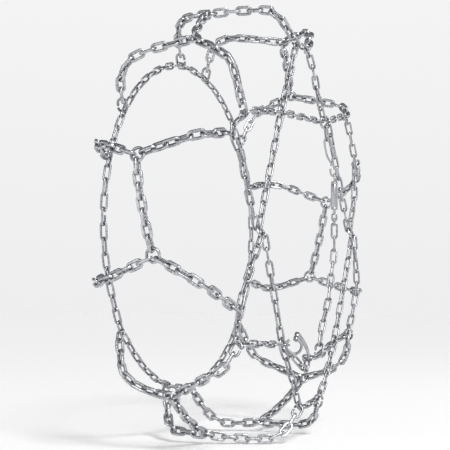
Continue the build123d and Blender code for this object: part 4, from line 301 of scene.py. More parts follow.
        (385.32, -121.65, -378.24, 0.1307, -0.7639, 0.6319, -0.117, 0.6211, 0.775),
        (383.3, -140.24, -359.51, -0.1167, -0.513, 0.8504, -0.9341, 0.3475, 0.0815),
        (377.24, -151.84, -335.04, -0.3986, -0.2954, 0.8683, -0.5066, -0.7183, -0.4769),
        (364.58, -158.89, -312.03, -0.5062, -0.2258, 0.8324, 0.5701, -0.8117, 0.1265),
    ]),
    ("outer_cross_arms_6", "tread", [
        (-366.93, -2.72, -410.8, -0.4037, -0.8387, 0.3654, -0.5537, 0.542, 0.6322),
        (-378.29, -27.53, -399.56, -0.3733, -0.8425, 0.3883, -0.8017, 0.0823, -0.592),
        (-388.91, -52.57, -388.22, -0.3438, -0.8548, 0.3886, 0.3504, -0.5008, -0.7915),
        (-397.87, -78.06, -376.48, -0.2785, -0.8765, 0.3927, 0.9333, -0.1504, 0.3261),
        (-405.12, -104.38, -365.29, -0.1918, -0.9047, 0.3804, -0.1435, 0.4093, 0.9011),
        (-403.96, -129.29, -351.03, 0.1327, -0.7663, 0.6286, -0.9258, -0.3223, -0.1975),
        (-398.11, -145.87, -328.57, 0.4156, -0.3833, 0.8248, 0.2565, -0.8206, -0.5106),
        (-140.71, 3.97, -532.58, 0.4509, -0.8825, -0.1335, -0.8537, -0.4701, 0.2242),
        (-127.6, -22.28, -535.72, 0.4214, -0.9026, -0.0884, -0.2093, -0.002, -0.9778),
        (-115.28, -48.98, -538.26, 0.4164, -0.9051, -0.0856, 0.895, 0.4247, -0.1365),
        (-102.74, -75.65, -539.6, 0.429, -0.903, -0.026, 0.0835, 0.011, 0.9965),
        (-89.53, -102.02, -539.74, 0.4567, -0.8887, 0.0409, -0.8896, -0.4561, 0.0236),
        (-75.83, -126.22, -531.69, 0.5084, -0.7672, 0.3912, 0.0415, -0.4319, -0.901),
        (-59.49, -144.82, -517.46, 0.5905, -0.4267, 0.685, 0.7955, 0.4508, -0.4048),
        (-41.87, -154.24, -495.94, 0.626, -0.2399, 0.742, -0.2181, 0.8597, 0.4619),
    ]),
    ("outer_side_hooks", "hook", [
        (-444.68, -159.83, 177.3, 0.9687, -0.2339, 0.0828, 0.1551, 0.3104, -0.9379),
        (-408.91, -164.48, -213.58, 0.8948, -0.1502, -0.4204, 0.307, -0.4769, 0.8236),
        (-54.72, -162.85, 464.39, 0.7771, -0.1719, -0.6054, 0.5704, -0.214, 0.793),
        (-377.56, -166.48, 245.56, 0.2376, -0.137, -0.9617, 0.8646, -0.4214, 0.2736),
        (346.64, -160.73, 327.53, -0.8352, -0.2526, -0.4886, -0.5483, 0.4512, 0.7041),
        (38.21, -163.61, 462.66, -0.7195, -0.1828, -0.67, -0.6516, 0.5116, 0.5601),
        (434.99, -163.56, -166.93, -0.9657, -0.2524, 0.0616, 0.0093, -0.2705, -0.9627),
        (424.93, -162.41, 200.79, -0.9464, -0.2033, 0.2511, 0.1212, 0.4971, 0.8592),
        (124.79, -160.9, -460.26, -0.2445, -0.256, 0.9353, 0.8824, 0.3411, 0.324),
        (352.41, -165.35, -291.4, -0.5034, -0.2157, 0.8367, 0.7487, 0.3745, 0.547),
        (-385.32, -155.94, -305.3, 0.4679, -0.2935, 0.8336, 0.8693, 0.323, -0.3742),
        (-24.32, -161.19, -474.77, 0.606, -0.218, 0.765, -0.757, -0.4536, 0.4704),
    ]),
    ("inner_cross_arms_1", "tread", [
        (-533.97, 43.67, 133.56, 0.0801, 0.9529, 0.2924, -0.2205, 0.303, -0.9271),
        (-530.25, 71.53, 142.03, 0.1575, 0.9425, 0.2947, -0.9153, 0.0273, 0.4018),
        (-525.43, 98.81, 151.12, 0.1756, 0.934, 0.3113, 0.5554, -0.355, 0.752),
        (-514.72, 124.03, 157.09, 0.495, 0.8531, 0.165, 0.6764, -0.2591, -0.6895),
        (-496.3, 143.41, 160.2, 0.8533, 0.5127, -0.0952, -0.4371, 0.6037, -0.6667),
        (-471.58, 154.07, 155.56, 0.9426, 0.2728, -0.1925, -0.0013, 0.5795, 0.815),
        (-445.09, 160.82, 149.53, 0.9509, 0.1916, -0.243, 0.2801, -0.8668, 0.4125),
        (-539.83, -4.53, -109.56, 0.0625, 0.9274, -0.3687, 0.1734, -0.3739, -0.9111),
        (-537.19, 21.38, -119.68, 0.0808, 0.9267, -0.3671, -0.9955, 0.0566, -0.0762),
        (-534.96, 47.19, -130.15, 0.0888, 0.9218, -0.3773, 0.075, 0.3715, 0.9254),
        (-531.7, 72.92, -140.46, 0.1265, 0.9196, -0.3718, 0.9721, -0.1895, -0.138),
        (-526.69, 98.94, -148.8, 0.2484, 0.9335, -0.2585, -0.3001, -0.1796, -0.9369),
        (-515.91, 123.52, -155.79, 0.5242, 0.8407, -0.1358, -0.7902, 0.5396, 0.2905),
        (-496.76, 143.19, -154.78, 0.8663, 0.4995, 0.0085, 0.3065, -0.545, 0.7804),
        (-471.57, 154.25, -153.15, 0.9457, 0.2753, 0.1729, 0.3081, -0.5891, -0.747),
        (-445.05, 161.01, -148, 0.9605, 0.1969, 0.1964, -0.0713, 0.8569, -0.5105),
    ]),
    ("inner_cross_arms_2", "tread", [
        (-150.49, 49.34, 529.18, 0.3352, 0.9391, 0.0749, -0.9135, 0.3435, -0.2181),
        (-140.73, 77.08, 530.49, 0.318, 0.9478, 0.0255, -0.0881, 0.0027, 0.9961),
        (-130.39, 104.57, 530.65, 0.3687, 0.9289, -0.0346, 0.9261, -0.3703, -0.072),
        (-118.43, 128.95, 521.51, 0.521, 0.7175, -0.4623, -0.2046, -0.4208, -0.8838),
        (-100.39, 145.57, 505.98, 0.6234, 0.4155, -0.6624, -0.6636, 0.7291, -0.1672),
        (-82, 155.38, 485.33, 0.6651, 0.2252, -0.712, 0.5447, 0.5059, 0.6689),
        (-62.6, 161.79, 464.09, 0.6449, 0.2061, -0.736, 0.441, -0.8869, 0.138),
        (-363.95, -3.51, 413.49, -0.2209, 0.959, -0.1777, -0.7249, -0.2833, -0.6278),
        (-369.96, 24.33, 407.61, -0.2131, 0.9558, -0.2023, -0.5618, 0.0495, 0.8258),
        (-376.33, 52.04, 401.85, -0.2237, 0.9522, -0.2082, 0.8613, 0.2931, 0.4151),
        (-382.42, 79.73, 394.09, -0.202, 0.9326, -0.2992, 0.3588, -0.2138, -0.9086),
        (-389.65, 106, 383.46, -0.2562, 0.8521, -0.4564, -0.9333, -0.341, -0.1127),
        (-394.87, 126.77, 364.76, -0.1212, 0.643, -0.7562, -0.0765, 0.7535, 0.653),
        (-391.28, 142.71, 343.46, 0.2181, 0.4575, -0.862, 0.9077, -0.4196, 0.0069),
        (-381.49, 153.93, 319.07, 0.5291, 0.249, -0.8112, -0.5286, -0.6511, -0.5446),
        (-365.11, 160.49, 296.04, 0.5966, 0.2057, -0.7757, -0.5215, 0.834, -0.1799),
    ]),
    ("inner_cross_arms_3", "tread", [
        (382.79, 46.13, 395.4, 0.2294, 0.9443, -0.2359, -0.6813, 0.3289, 0.654),
        (388.54, 73.85, 387.7, 0.1725, 0.9474, -0.2695, 0.8118, 0.0183, 0.5837),
        (393.76, 101.22, 379.08, 0.1611, 0.9355, -0.3146, 0.3651, -0.3526, -0.8616),
        (392.92, 126.49, 365.88, -0.0871, 0.8196, -0.5662, -0.9293, -0.2716, -0.2502),
        (387.76, 144.84, 346.21, -0.3936, 0.4554, -0.7986, -0.4399, 0.6695, 0.5986),
        (375.12, 154.87, 322.85, -0.4659, 0.2396, -0.8518, 0.7996, 0.5263, -0.2894),
        (361.33, 161.07, 298.39, -0.4971, 0.1766, -0.8495, 0.2784, -0.8948, -0.349),
        (175.45, -5.44, 522.16, -0.3538, 0.9257, 0.134, -0.8746, -0.3782, 0.3035),
        (164.96, 21.47, 525.15, -0.3619, 0.9261, 0.1066, 0.4303, 0.0645, 0.9004),
        (154.71, 47.34, 528.38, -0.3713, 0.9218, 0.1117, 0.7615, 0.3711, -0.5314),
        (144.13, 73.12, 530.7, -0.3854, 0.9197, 0.0752, -0.6099, -0.1927, -0.7687),
        (134.23, 99.21, 530.62, -0.3556, 0.931, -0.0819, -0.6531, -0.1848, 0.7344),
        (122.48, 123.68, 524.81, -0.3928, 0.8346, -0.3861, 0.647, 0.5492, 0.529),
        (115.51, 142.92, 507.03, -0.2884, 0.5237, -0.8016, 0.5557, -0.5902, -0.5855),
        (109.58, 154.59, 483.16, -0.0735, 0.2613, -0.9625, -0.8591, -0.5068, -0.072),
        (108.12, 161.08, 456.08, -0.0288, 0.1929, -0.9808, -0.3996, 0.8972, 0.1882),
    ]),
    ("inner_cross_arms_4", "tread", [
        (533.74, 46.12, -134.06, -0.0885, 0.9497, -0.3004, 0.2166, 0.3127, 0.9248),
        (529.76, 73.09, -142.5, -0.1521, 0.9429, -0.2962, 0.9082, 0.0151, -0.4184),
        (525.44, 99.41, -151.22, -0.1955, 0.9288, -0.315, -0.5603, -0.3694, -0.7414),
        (514.68, 123.99, -157.15, -0.4936, 0.8546, -0.1612, -0.6761, -0.2604, 0.6892),
        (496.29, 143.4, -160.19, -0.8531, 0.5131, 0.0947, 0.4371, 0.6037, 0.6667),
        (471.58, 154.07, -155.56, -0.9426, 0.2729, 0.1923, 0.0015, 0.5794, -0.815),
        (445.09, 160.82, -149.53, -0.9509, 0.1916, 0.243, -0.2801, -0.8668, -0.4125),
        (539.83, -4.53, 109.56, -0.0625, 0.9274, 0.3687, -0.1734, -0.3739, 0.9111),
        (537.19, 21.38, 119.68, -0.0808, 0.9267, 0.3671, 0.9955, 0.0566, 0.0762),
        (534.96, 47.19, 130.15, -0.0888, 0.9218, 0.3773, -0.075, 0.3715, -0.9254),
        (531.7, 72.92, 140.46, -0.1265, 0.9196, 0.3718, -0.9721, -0.1895, 0.138),
        (526.69, 98.94, 148.8, -0.2484, 0.9335, 0.2585, 0.3001, -0.1796, 0.9369),
        (515.91, 123.52, 155.79, -0.5242, 0.8407, 0.1358, 0.7902, 0.5396, -0.2905),
        (496.76, 143.19, 154.78, -0.8663, 0.4995, -0.0085, -0.3065, -0.545, -0.7804),
        (471.57, 154.25, 153.15, -0.9457, 0.2753, -0.1729, -0.3081, -0.5891, 0.747),
        (445.05, 161.01, 148, -0.9605, 0.1969, -0.1964, 0.0713, 0.8569, 0.5105),
    ]),
    ("inner_cross_arms_5", "tread", [
        (150.35, 48.51, -529.24, -0.3226, 0.9438, -0.0711, 0.918, 0.3303, 0.2196),
        (140.88, 76.35, -530.48, -0.3137, 0.9492, -0.0245, 0.0881, 0.0035, -0.9961),
        (130.61, 103.87, -530.67, -0.3669, 0.9298, 0.0304, -0.9271, -0.3682, 0.0707),
        (118.71, 128.4, -521.77, -0.5159, 0.7272, 0.4529, 0.1977, -0.4133, 0.8889),
        (100.74, 145.21, -506.41, -0.6211, 0.4187, 0.6625, 0.6651, 0.7288, 0.1629),
        (82.4, 155.14, -485.77, -0.664, 0.2307, 0.7112, -0.5433, 0.5047, -0.6709),
        (63.02, 161.69, -464.54, -0.6438, 0.21, 0.7358, -0.4453, -0.8848, -0.137),
        (364.92, -4.06, -412.63, 0.2896, 0.9268, 0.2392, 0.7012, -0.3755, 0.606),
        (372.6, 22.53, -405.1, 0.275, 0.9263, 0.2576, 0.5701, 0.0587, -0.8195),
        (380.73, 48.94, -397.71, 0.2831, 0.9214, 0.2664, -0.8337, 0.3737, -0.4065),
        (388.05, 75.25, -389.43, 0.2486, 0.9201, 0.3027, -0.384, -0.1933, 0.9029),
        (392.52, 102.32, -380.86, 0.08, 0.9397, 0.3325, 0.9605, -0.1618, 0.2262),
        (391.9, 126.96, -367.01, -0.1974, 0.8042, 0.5607, 0.1378, 0.589, -0.7963),
        (382.21, 145.48, -349.1, -0.3578, 0.4246, 0.8317, -0.8572, -0.5026, -0.1122),
        (371.28, 155.25, -324.19, -0.4238, 0.2447, 0.8721, 0.5647, -0.6813, 0.4656),
        (359.04, 161.44, -299.17, -0.434, 0.1755, 0.8837, 0.5815, 0.8038, 0.1259),
    ]),
    ("inner_cross_arms_6", "tread", [
        (-360.35, 45.64, -415.81, -0.1738, 0.9681, 0.1802, 0.6893, 0.2503, -0.6799),
        (-366.46, 73.6, -409.04, -0.2716, 0.9105, 0.3119, -0.7786, -0.0173, -0.6273),
        (-375.84, 98.94, -397.47, -0.3339, 0.8314, 0.4442, -0.4085, -0.5523, 0.7267),
        (-380.9, 122.57, -381.07, -0.098, 0.76, 0.6425, 0.921, -0.1753, 0.3479),
        (-380.44, 139.97, -358.55, 0.2935, 0.4321, 0.8528, 0.2734, 0.8168, -0.508),
        (-370.64, 151.08, -333.17, 0.3397, 0.3133, 0.8868, -0.8309, 0.5418, 0.1269),
        (-360.2, 159.73, -307.01, 0.3851, 0.2697, 0.8826, -0.3354, -0.8501, 0.4061),
        (-153.19, 51.41, -528.32, -0.0939, 0.9939, 0.0573, 0.9567, 0.1061, -0.2712),
        (-156.09, 78.53, -526.12, -0.1176, 0.9907, 0.068, -0.4413, 0.0092, -0.8973),
        (-158.19, 105.37, -523.95, -0.0609, 0.993, 0.1007, -0.7881, -0.1098, 0.6057),
        (-150.92, 127.51, -514.34, 0.4926, 0.7559, 0.4312, 0.5799, -0.6546, 0.4851),
        (-139.21, 144.15, -498.79, 0.5903, 0.4162, 0.6916, 0.5223, 0.4564, -0.7204),
        (-125.68, 154.17, -478.13, 0.3644, 0.2642, 0.893, -0.7507, 0.6507, 0.1138),
        (-116.77, 160.81, -453.26, 0.289, 0.2193, 0.9319, -0.4234, -0.8438, 0.3298),
    ]),
    ("inner_side_hooks", "hook", [
        (-420.06, 167.67, 143.43, 0.9529, 0.2023, -0.226, -0.1541, -0.3187, -0.9352),
        (-420.15, 167.56, -143.12, 0.9628, 0.1963, 0.1858, -0.2475, 0.3643, 0.8978),
        (-45.8, 167.04, 441.92, 0.5718, 0.1226, -0.8112, -0.7497, -0.3234, -0.5774),
        (-349.1, 167.45, 274.64, 0.5843, 0.1942, -0.788, 0.6867, 0.3992, 0.6076),
        (347.9, 167.59, 275.1, -0.4963, 0.1756, -0.8502, -0.8523, -0.2847, 0.4387),
        (107.18, 167.67, 430.43, -0.0419, 0.1963, -0.9796, 0.953, 0.3023, 0.0198),
        (420.07, 167.67, -143.44, -0.9529, 0.2024, 0.2259, 0.154, -0.3187, 0.9353),
        (420.18, 167.56, 143.13, -0.9629, 0.1962, -0.1855, 0.2472, 0.3643, -0.8979),
        (46.44, 166.96, -442.24, -0.5606, 0.1218, 0.8191, 0.755, -0.3311, 0.566),
        (347.42, 167.47, -275.3, -0.4316, 0.1836, 0.8832, -0.7633, 0.4476, -0.466),
        (-347.39, 166.5, -282.7, 0.4899, 0.1627, 0.8564, 0.8429, -0.3392, -0.4177),
        (-109.29, 167.67, -430.11, 0.3022, 0.2041, 0.9311, 0.9112, -0.3488, -0.2193),
    ]),
    ("inner_side_chain_1", "side", [
        (-425.68, 168.91, 34.98, 0.0821, 0.0042, 0.9966, -0.9938, -0.0748, 0.0821),
        (-421.59, 168.88, 70.08, 0.1679, 0.0012, 0.9858, -0.0701, 0.9975, 0.0107),
        (-414.11, 168.91, 104.62, 0.2458, 0.0042, 0.9693, -0.9665, -0.0748, 0.2454),
        (-404.27, 168.87, 138.57, 0.3281, 0.0011, 0.9447, -0.0671, 0.9975, 0.0221),
        (-391.23, 168.91, 171.41, 0.4009, 0.0043, 0.9161, -0.9134, -0.0748, 0.4001),
        (-375.97, 168.88, 203.28, 0.4789, 0.0012, 0.8779, -0.0628, 0.9975, 0.0329),
        (-357.68, 168.91, 233.52, 0.547, 0.0043, 0.8371, -0.8346, -0.0748, 0.5458),
        (-337.36, 168.88, 262.44, 0.6171, 0.0012, 0.7869, -0.0565, 0.9975, 0.0428),
        (-314.35, 168.92, 289.25, 0.6775, 0.0043, 0.7355, -0.7332, -0.0748, 0.6759),
        (-289.54, 168.88, 314.42, 0.7382, 0.0012, 0.6745, -0.0487, 0.9975, 0.0515),
        (-262.42, 168.92, 337.07, 0.7894, 0.0043, 0.6138, -0.6119, -0.0748, 0.7874),
        (-233.81, 168.88, 357.81, 0.8393, 0.0012, 0.5437, -0.0396, 0.9975, 0.0588),
        (-203.33, 168.92, 375.69, 0.8798, 0.0043, 0.4754, -0.4738, -0.0747, 0.8775),
        (-171.69, 168.88, 391.43, 0.9173, 0.0012, 0.3981, -0.0293, 0.9975, 0.0645),
        (-138.69, 168.92, 404.04, 0.9461, 0.0044, 0.324, -0.3227, -0.0748, 0.9435),
        (-104.9, 168.92, 414.4, 0.9697, 0.0029, 0.2444, -0.0202, 0.9975, 0.0682),
        (-70.38, 169.08, 422.03, 0.9813, 0.0114, 0.1919, -0.1906, -0.0722, 0.979),
        (-35.47, 169.18, 427.4, 0.9959, 0.0024, 0.0904, -0.0068, 0.9988, 0.0479),
        (-0.19, 169.13, 428.04, 0.9993, -0.0048, -0.0364, 0.036, -0.0742, 0.9966),
        (35.11, 168.92, 426.04, 0.9959, -0.001, -0.09, 0.0073, 0.9975, 0.0702),
        (70.13, 168.91, 421.38, 0.9863, 0.0043, -0.165, 0.1648, -0.0747, 0.9835),
        (104.77, 168.87, 414.38, 0.9685, 0.0013, -0.2492, 0.0164, 0.9975, 0.0689),
        (138.57, 168.91, 404.09, 0.946, 0.0044, -0.3242, 0.3236, -0.0747, 0.9432),
        (171.59, 168.87, 391.51, 0.9143, 0.0013, -0.405, 0.0275, 0.9975, 0.0654),
        (203.23, 168.91, 375.78, 0.8794, 0.0043, -0.4761, 0.4751, -0.0747, 0.8768),
        (233.72, 168.88, 357.92, 0.8351, 0.0013, -0.5501, 0.0379, 0.9975, 0.06),
        (262.33, 168.91, 337.2, 0.7889, 0.0043, -0.6145, 0.613, -0.0747, 0.7865),
        (289.46, 168.88, 314.56, 0.7331, 0.0013, -0.6801, 0.0473, 0.9975, 0.0529),
        (314.28, 168.92, 289.41, 0.677, 0.0044, -0.736, 0.7342, -0.0747, 0.6748),
        (337.31, 168.88, 262.61, 0.6112, 0.0013, -0.7915, 0.0553, 0.9975, 0.0444),
        (357.64, 168.92, 233.72, 0.5464, 0.0043, -0.8375, 0.8354, -0.0747, 0.5446),
        (375.94, 168.88, 203.49, 0.4723, 0.0013, -0.8815, 0.0619, 0.9975, 0.0347),
        (391.2, 168.92, 171.62, 0.3992, 0.0046, -0.9168, 0.9144, -0.0747, 0.3978),
        (404.24, 168.89, 138.78, 0.321, 0.0012, -0.9471, 0.0671, 0.9975, 0.024),
        (414.12, 168.92, 104.86, 0.2466, 0.0041, -0.9691, 0.9665, -0.0747, 0.2457),
        (421.66, 168.88, 70.33, 0.1608, 0.0013, -0.987, 0.0699, 0.9975, 0.0127),
        (425.78, 168.91, 35.24, 0.0817, 0.0043, -0.9966, 0.9939, -0.0747, 0.0812),
    ]),
    ("inner_side_chain_2", "side", [
        (427.48, 168.88, -0.05, -0.0042, 0.0013, -1, 0.0709, 0.9975, 0.001),
        (425.77, 168.92, -35.34, -0.0836, 0.0043, -0.9965, 0.9937, -0.0747, -0.0836),
        (421.63, 168.88, -70.44, -0.1689, 0.0013, -0.9856, 0.0701, 0.9975, -0.0107),
        (414.11, 168.92, -104.96, -0.2472, 0.0043, -0.9689, 0.9662, -0.0747, -0.2469),
        (404.24, 168.88, -138.89, -0.3289, 0.0012, -0.9444, 0.0672, 0.9975, -0.0221),
        (391.17, 168.91, -171.72, -0.402, 0.0044, -0.9156, 0.9129, -0.0747, -0.4012),
        (375.87, 168.88, -203.57, -0.4797, 0.0013, -0.8774, 0.0628, 0.9975, -0.0329),
        (357.56, 168.91, -233.79, -0.548, 0.0043, -0.8365, 0.834, -0.0747, -0.5468),
        (337.21, 168.88, -262.68, -0.6178, 0.0012, -0.7864, 0.0565, 0.9975, -0.0428),
        (314.17, 168.92, -289.47, -0.6783, 0.0043, -0.7347, 0.7325, -0.0747, -0.6767),
        (289.34, 168.88, -314.61, -0.7388, 0.0012, -0.6739, 0.0487, 0.9975, -0.0515),
        (262.2, 168.92, -337.24, -0.7901, 0.0043, -0.613, 0.611, -0.0747, -0.7881),
        (233.57, 168.88, -357.95, -0.8397, 0.0012, -0.5431, 0.0395, 0.9975, -0.0588),
        (203.07, 168.92, -375.8, -0.8803, 0.0044, -0.4744, 0.4728, -0.0748, -0.878),
        (171.42, 168.88, -391.51, -0.9177, 0.0012, -0.3973, 0.0292, 0.9975, -0.0645),
        (138.39, 168.92, -404.09, -0.9464, 0.0044, -0.3231, 0.3218, -0.0748, -0.9438),
        (104.6, 168.93, -414.45, -0.9695, 0.0034, -0.2452, 0.0208, 0.9975, -0.068),
        (70.11, 169.13, -422.2, -0.9802, 0.013, -0.1975, 0.1961, -0.0717, -0.978),
        (35.21, 169.24, -427.63, -0.9962, 0.0018, -0.0868, 0.0056, 0.9991, -0.043),
        (-0.08, 169.16, -428.1, -0.9991, -0.0058, 0.0418, -0.0413, -0.0742, -0.9964),
        (-35.37, 168.94, -425.94, -0.9956, -0.0015, 0.0933, -0.0081, 0.9975, -0.0699),
        (-70.39, 168.92, -421.16, -0.9857, 0.0043, 0.1682, -0.1681, -0.0748, -0.9829),
        (-105.01, 168.88, -414.08, -0.9683, 0.001, 0.2497, -0.0166, 0.9975, -0.0685),
        (-138.82, 168.91, -403.79, -0.9462, 0.0043, 0.3236, -0.323, -0.0748, -0.9434),
        (-171.85, 168.88, -391.21, -0.9142, 0.0012, 0.4053, -0.0276, 0.9975, -0.0652),
        (-203.48, 168.92, -375.45, -0.8787, 0.0043, 0.4773, -0.4763, -0.0749, -0.8761),
        (-233.95, 168.88, -357.54, -0.8345, 0.0011, 0.551, -0.038, 0.9975, -0.0596),
        (-262.55, 168.92, -336.78, -0.7883, 0.0045, 0.6153, -0.6138, -0.075, -0.7859),
        (-289.77, 168.98, -314.22, -0.7396, 0.0052, 0.673, -0.0443, 0.9974, -0.0564),
        (-315.93, 169.23, -290.42, -0.7372, 0.0156, 0.6755, -0.6747, -0.0725, -0.7346),
        (-340.34, 169.38, -264.97, -0.619, 0.0017, 0.7854, -0.0235, 0.9995, -0.0208),
        (-359.02, 169.28, -235.11, -0.4746, -0.0093, 0.8802, -0.8774, -0.0746, -0.4739),
        (-375.69, 168.98, -203.91, -0.4621, -0.0034, 0.8868, -0.0637, 0.9975, -0.0293),
        (-390.84, 168.92, -171.97, -0.4014, 0.0041, 0.9159, -0.9135, -0.0749, -0.4),
        (-403.94, 168.88, -139.15, -0.3222, 0.0012, 0.9467, -0.0669, 0.9975, -0.024),
        (-413.86, 168.91, -105.23, -0.2477, 0.0041, 0.9688, -0.9662, -0.0749, -0.2467),
        (-421.43, 168.87, -70.71, -0.162, 0.0012, 0.9868, -0.0697, 0.9975, -0.0126),
        (-425.6, 168.91, -35.62, -0.0834, 0.0042, 0.9965, -0.9937, -0.0749, -0.0829),
    ]),
    ("inner_closing_hook", "open", [
        (-427.35, 168.87, -0.32, 0.0031, 0.0012, 1, -0.0709, 0.9975, -0.001),
    ]),
    ("tension_chain", "side", [
        (-151.16, -167.16, -277.04, -0.4456, -0.034, 0.8946, -0.8951, -0.0004, -0.4458),
        (-166.71, -168.19, -245.85, -0.4461, -0.0247, 0.8946, -0.1395, -0.9855, -0.0968),
        (-182.24, -169.05, -214.7, -0.4461, -0.0247, 0.8946, 0.8032, -0.452, 0.388),
        (-197.77, -169.91, -183.55, -0.4461, -0.0247, 0.8946, 0.5174, 0.8085, 0.2804),
        (-213.31, -170.77, -152.4, -0.4461, -0.0247, 0.8946, -0.633, 0.7154, -0.2959),
        (-228.84, -171.63, -121.25, -0.4461, -0.0247, 0.8946, -0.732, -0.5651, -0.3806),
        (-244.37, -172.49, -90.1, -0.4461, -0.0247, 0.8946, 0.3784, -0.9111, 0.1635),
        (-259.9, -173.35, -58.95, -0.4461, -0.0247, 0.8946, 0.8658, 0.2411, 0.4384),
        (-262.59, -160.28, -11.05, 0.3693, -0.0237, 0.929, -0.9084, 0.2014, 0.3663),
        (-250.09, -161.09, 20.4, 0.3693, -0.0237, 0.929, -0.1709, -0.9844, 0.0428),
        (-237.58, -161.89, 51.85, 0.3693, -0.0237, 0.929, 0.9173, -0.1506, -0.3685),
        (-225.08, -162.69, 83.3, 0.3693, -0.0237, 0.929, 0.1301, 0.9911, -0.0264),
        (-212.58, -163.5, 114.75, 0.3693, -0.0237, 0.929, -0.9221, 0.1151, 0.3695),
        (-200.08, -164.3, 146.2, 0.3693, -0.0237, 0.929, -0.1052, -0.9943, 0.0164),
        (-187.58, -165.1, 177.65, 0.3693, -0.0237, 0.929, 0.9241, -0.0959, -0.3698),
        (-175.08, -165.91, 209.09, 0.3693, -0.0237, 0.929, 0.0925, 0.9956, -0.0114),
        (-162.58, -166.71, 240.54, 0.3693, -0.0237, 0.929, -0.9293, 0.0001, 0.3694),
        (-120.07, -166.65, 268.52, 0.9979, 0.0193, 0.0616, -0.0614, -0.0108, 0.9981),
        (-84.84, -165.98, 270.59, 0.9982, 0.0204, 0.0568, 0.0277, -0.9908, -0.1326),
        (-49.65, -165.26, 272.65, 0.998, 0.0231, 0.0593, 0.0483, 0.3311, -0.9424),
        (-14.46, -164.56, 274.7, 0.998, 0.0182, 0.061, -0.0477, 0.8483, 0.5274),
        (20.72, -163.84, 276.73, 0.9983, 0.0179, 0.0546, -0.0262, -0.7039, 0.7098),
        (55.9, -163.14, 278.82, 0.9981, 0.0206, 0.0588, 0.061, -0.5162, -0.8543),
        (91.07, -162.42, 280.83, 0.9981, 0.0233, 0.0567, -0.0066, 0.9603, -0.2787),
        (126.29, -161.58, 282.23, 0.9991, 0.0279, 0.0323, -0.0337, 0.0538, 0.998),
        (173.46, -173.22, 264.89, 0.5833, 0.0526, -0.8106, 0.7939, -0.2478, 0.5552),
        (192.86, -171.77, 237.58, 0.5752, 0.0329, -0.8173, -0.2911, -0.9255, -0.2421),
        (212.36, -170.66, 209.87, 0.5752, 0.0329, -0.8173, -0.7156, 0.5044, -0.4833),
        (231.85, -169.54, 182.17, 0.5752, 0.0329, -0.8173, 0.4834, 0.7924, 0.3721),
        (251.35, -168.43, 154.47, 0.5752, 0.0329, -0.8173, 0.5918, -0.7065, 0.3881),
        (270.85, -167.31, 126.76, 0.5752, 0.0329, -0.8173, -0.6381, -0.6071, -0.4735),
        (290.35, -166.2, 99.06, 0.5752, 0.0329, -0.8173, -0.4339, 0.8593, -0.2708),
        (309.84, -165.08, 71.36, 0.5752, 0.0329, -0.8173, 0.7452, 0.3911, 0.5402),
        (329.34, -163.97, 43.65, 0.5752, 0.0329, -0.8173, 0.3056, -0.9355, 0.1775),
        (348.39, -163.39, 16.03, 0.5488, -0.0009, -0.836, -0.8032, -0.2779, -0.527),
        (353.02, -174.15, -29.56, -0.4226, 0.0143, -0.9062, 0.8852, -0.2081, -0.4161),
        (338.36, -173.65, -61.01, -0.4226, 0.0143, -0.9062, -0.2078, -0.9748, 0.0815),
        (323.69, -173.16, -92.47, -0.4226, 0.0143, -0.9062, -0.8793, 0.2357, 0.4138),
        (309.02, -172.66, -123.92, -0.4226, 0.0143, -0.9062, 0.2132, 0.9734, -0.0841),
        (294.35, -172.17, -155.37, -0.4226, 0.0143, -0.9062, 0.8849, -0.2093, -0.416),
        (279.68, -171.67, -186.82, -0.4226, 0.0143, -0.9062, -0.1666, -0.9841, 0.0622),
        (265.02, -171.18, -218.27, -0.4226, 0.0143, -0.9062, -0.8974, 0.1336, 0.4206),
        (250.35, -170.68, -249.72, -0.4226, 0.0143, -0.9062, 0.0691, 0.9975, -0.0165),
        (235.68, -170.19, -281.17, -0.4226, 0.0143, -0.9062, 0.9063, -0.0001, -0.4227),
        (160.15, -170.21, 254.23, 0.2199, -0.0615, -0.9736, 0.7064, -0.6783, 0.2024),
    ]),
    ("lock_chain", "side", [
        (-108.84, -162.72, -304.57, 0.9755, 0.2105, -0.0638, 0.0685, -0.0155, 0.9975),
        (6.4, -175.62, -341.73, 0.9838, -0.1767, -0.0299, 0.175, 0.9831, -0.0529),
        (38.66, -178.82, -341.24, 0.999, -0.0442, -0.0006, -0.0106, -0.2519, 0.9677),
        (70.89, -179.43, -339.14, 0.9949, -0.0047, 0.101, 0.045, -0.8739, -0.484),
        (102.73, -178.63, -334.11, 0.9711, 0.0602, 0.2308, 0.1261, 0.6918, -0.711),
        (134.2, -176.47, -326.72, 0.9678, 0.0783, 0.2392, -0.2444, 0.5194, 0.8188),
        (165.62, -173.79, -319.21, 0.9718, 0.0862, 0.2194, 0.0208, -0.9584, 0.2847),
        (196.96, -170.96, -311.97, 0.9681, 0.0909, 0.2333, 0.2336, 0.0084, -0.9723),
        (-5.27, -179.31, -355.48, -0.7847, -0.2388, -0.572, 0.6182, -0.3687, -0.6942),
        (-35.32, -188.2, -367.26, -0.9736, -0.216, -0.0739, 0.1892, -0.9444, 0.2689),
        (-67.68, -192.5, -361.13, -0.9203, -0.0535, 0.3875, 0.3812, 0.0993, 0.9191),
        (-96.07, -188.15, -343.82, -0.7247, 0.2893, 0.6254, 0.2268, 0.9572, -0.18),
        (-118.86, -173.58, -322.04, -0.5642, 0.5698, 0.5975, -0.7033, 0.0472, -0.7093),
    ]),
    ("tensioner_links", "small", [
        (201.01, -178, 16.63, 0.001, 0.0003, -1, 0.361, -0.9326, 0.0001),
    ]),
    ("tensioner_links", "side", [
        (201.01, -178, -7.51, -0.0001, -0.0002, -1, -0.947, -0.3212, 0.0001),
    ]),
    ("tail_chain", "side", [
        (200.93, -177.99, -42.79, -0.0051, 0.0004, -1, -0.286, 0.9582, 0.0018),
        (196.21, -178.01, -77.34, -0.2463, -0.0003, -0.9692, 0.9402, 0.2428, -0.239),
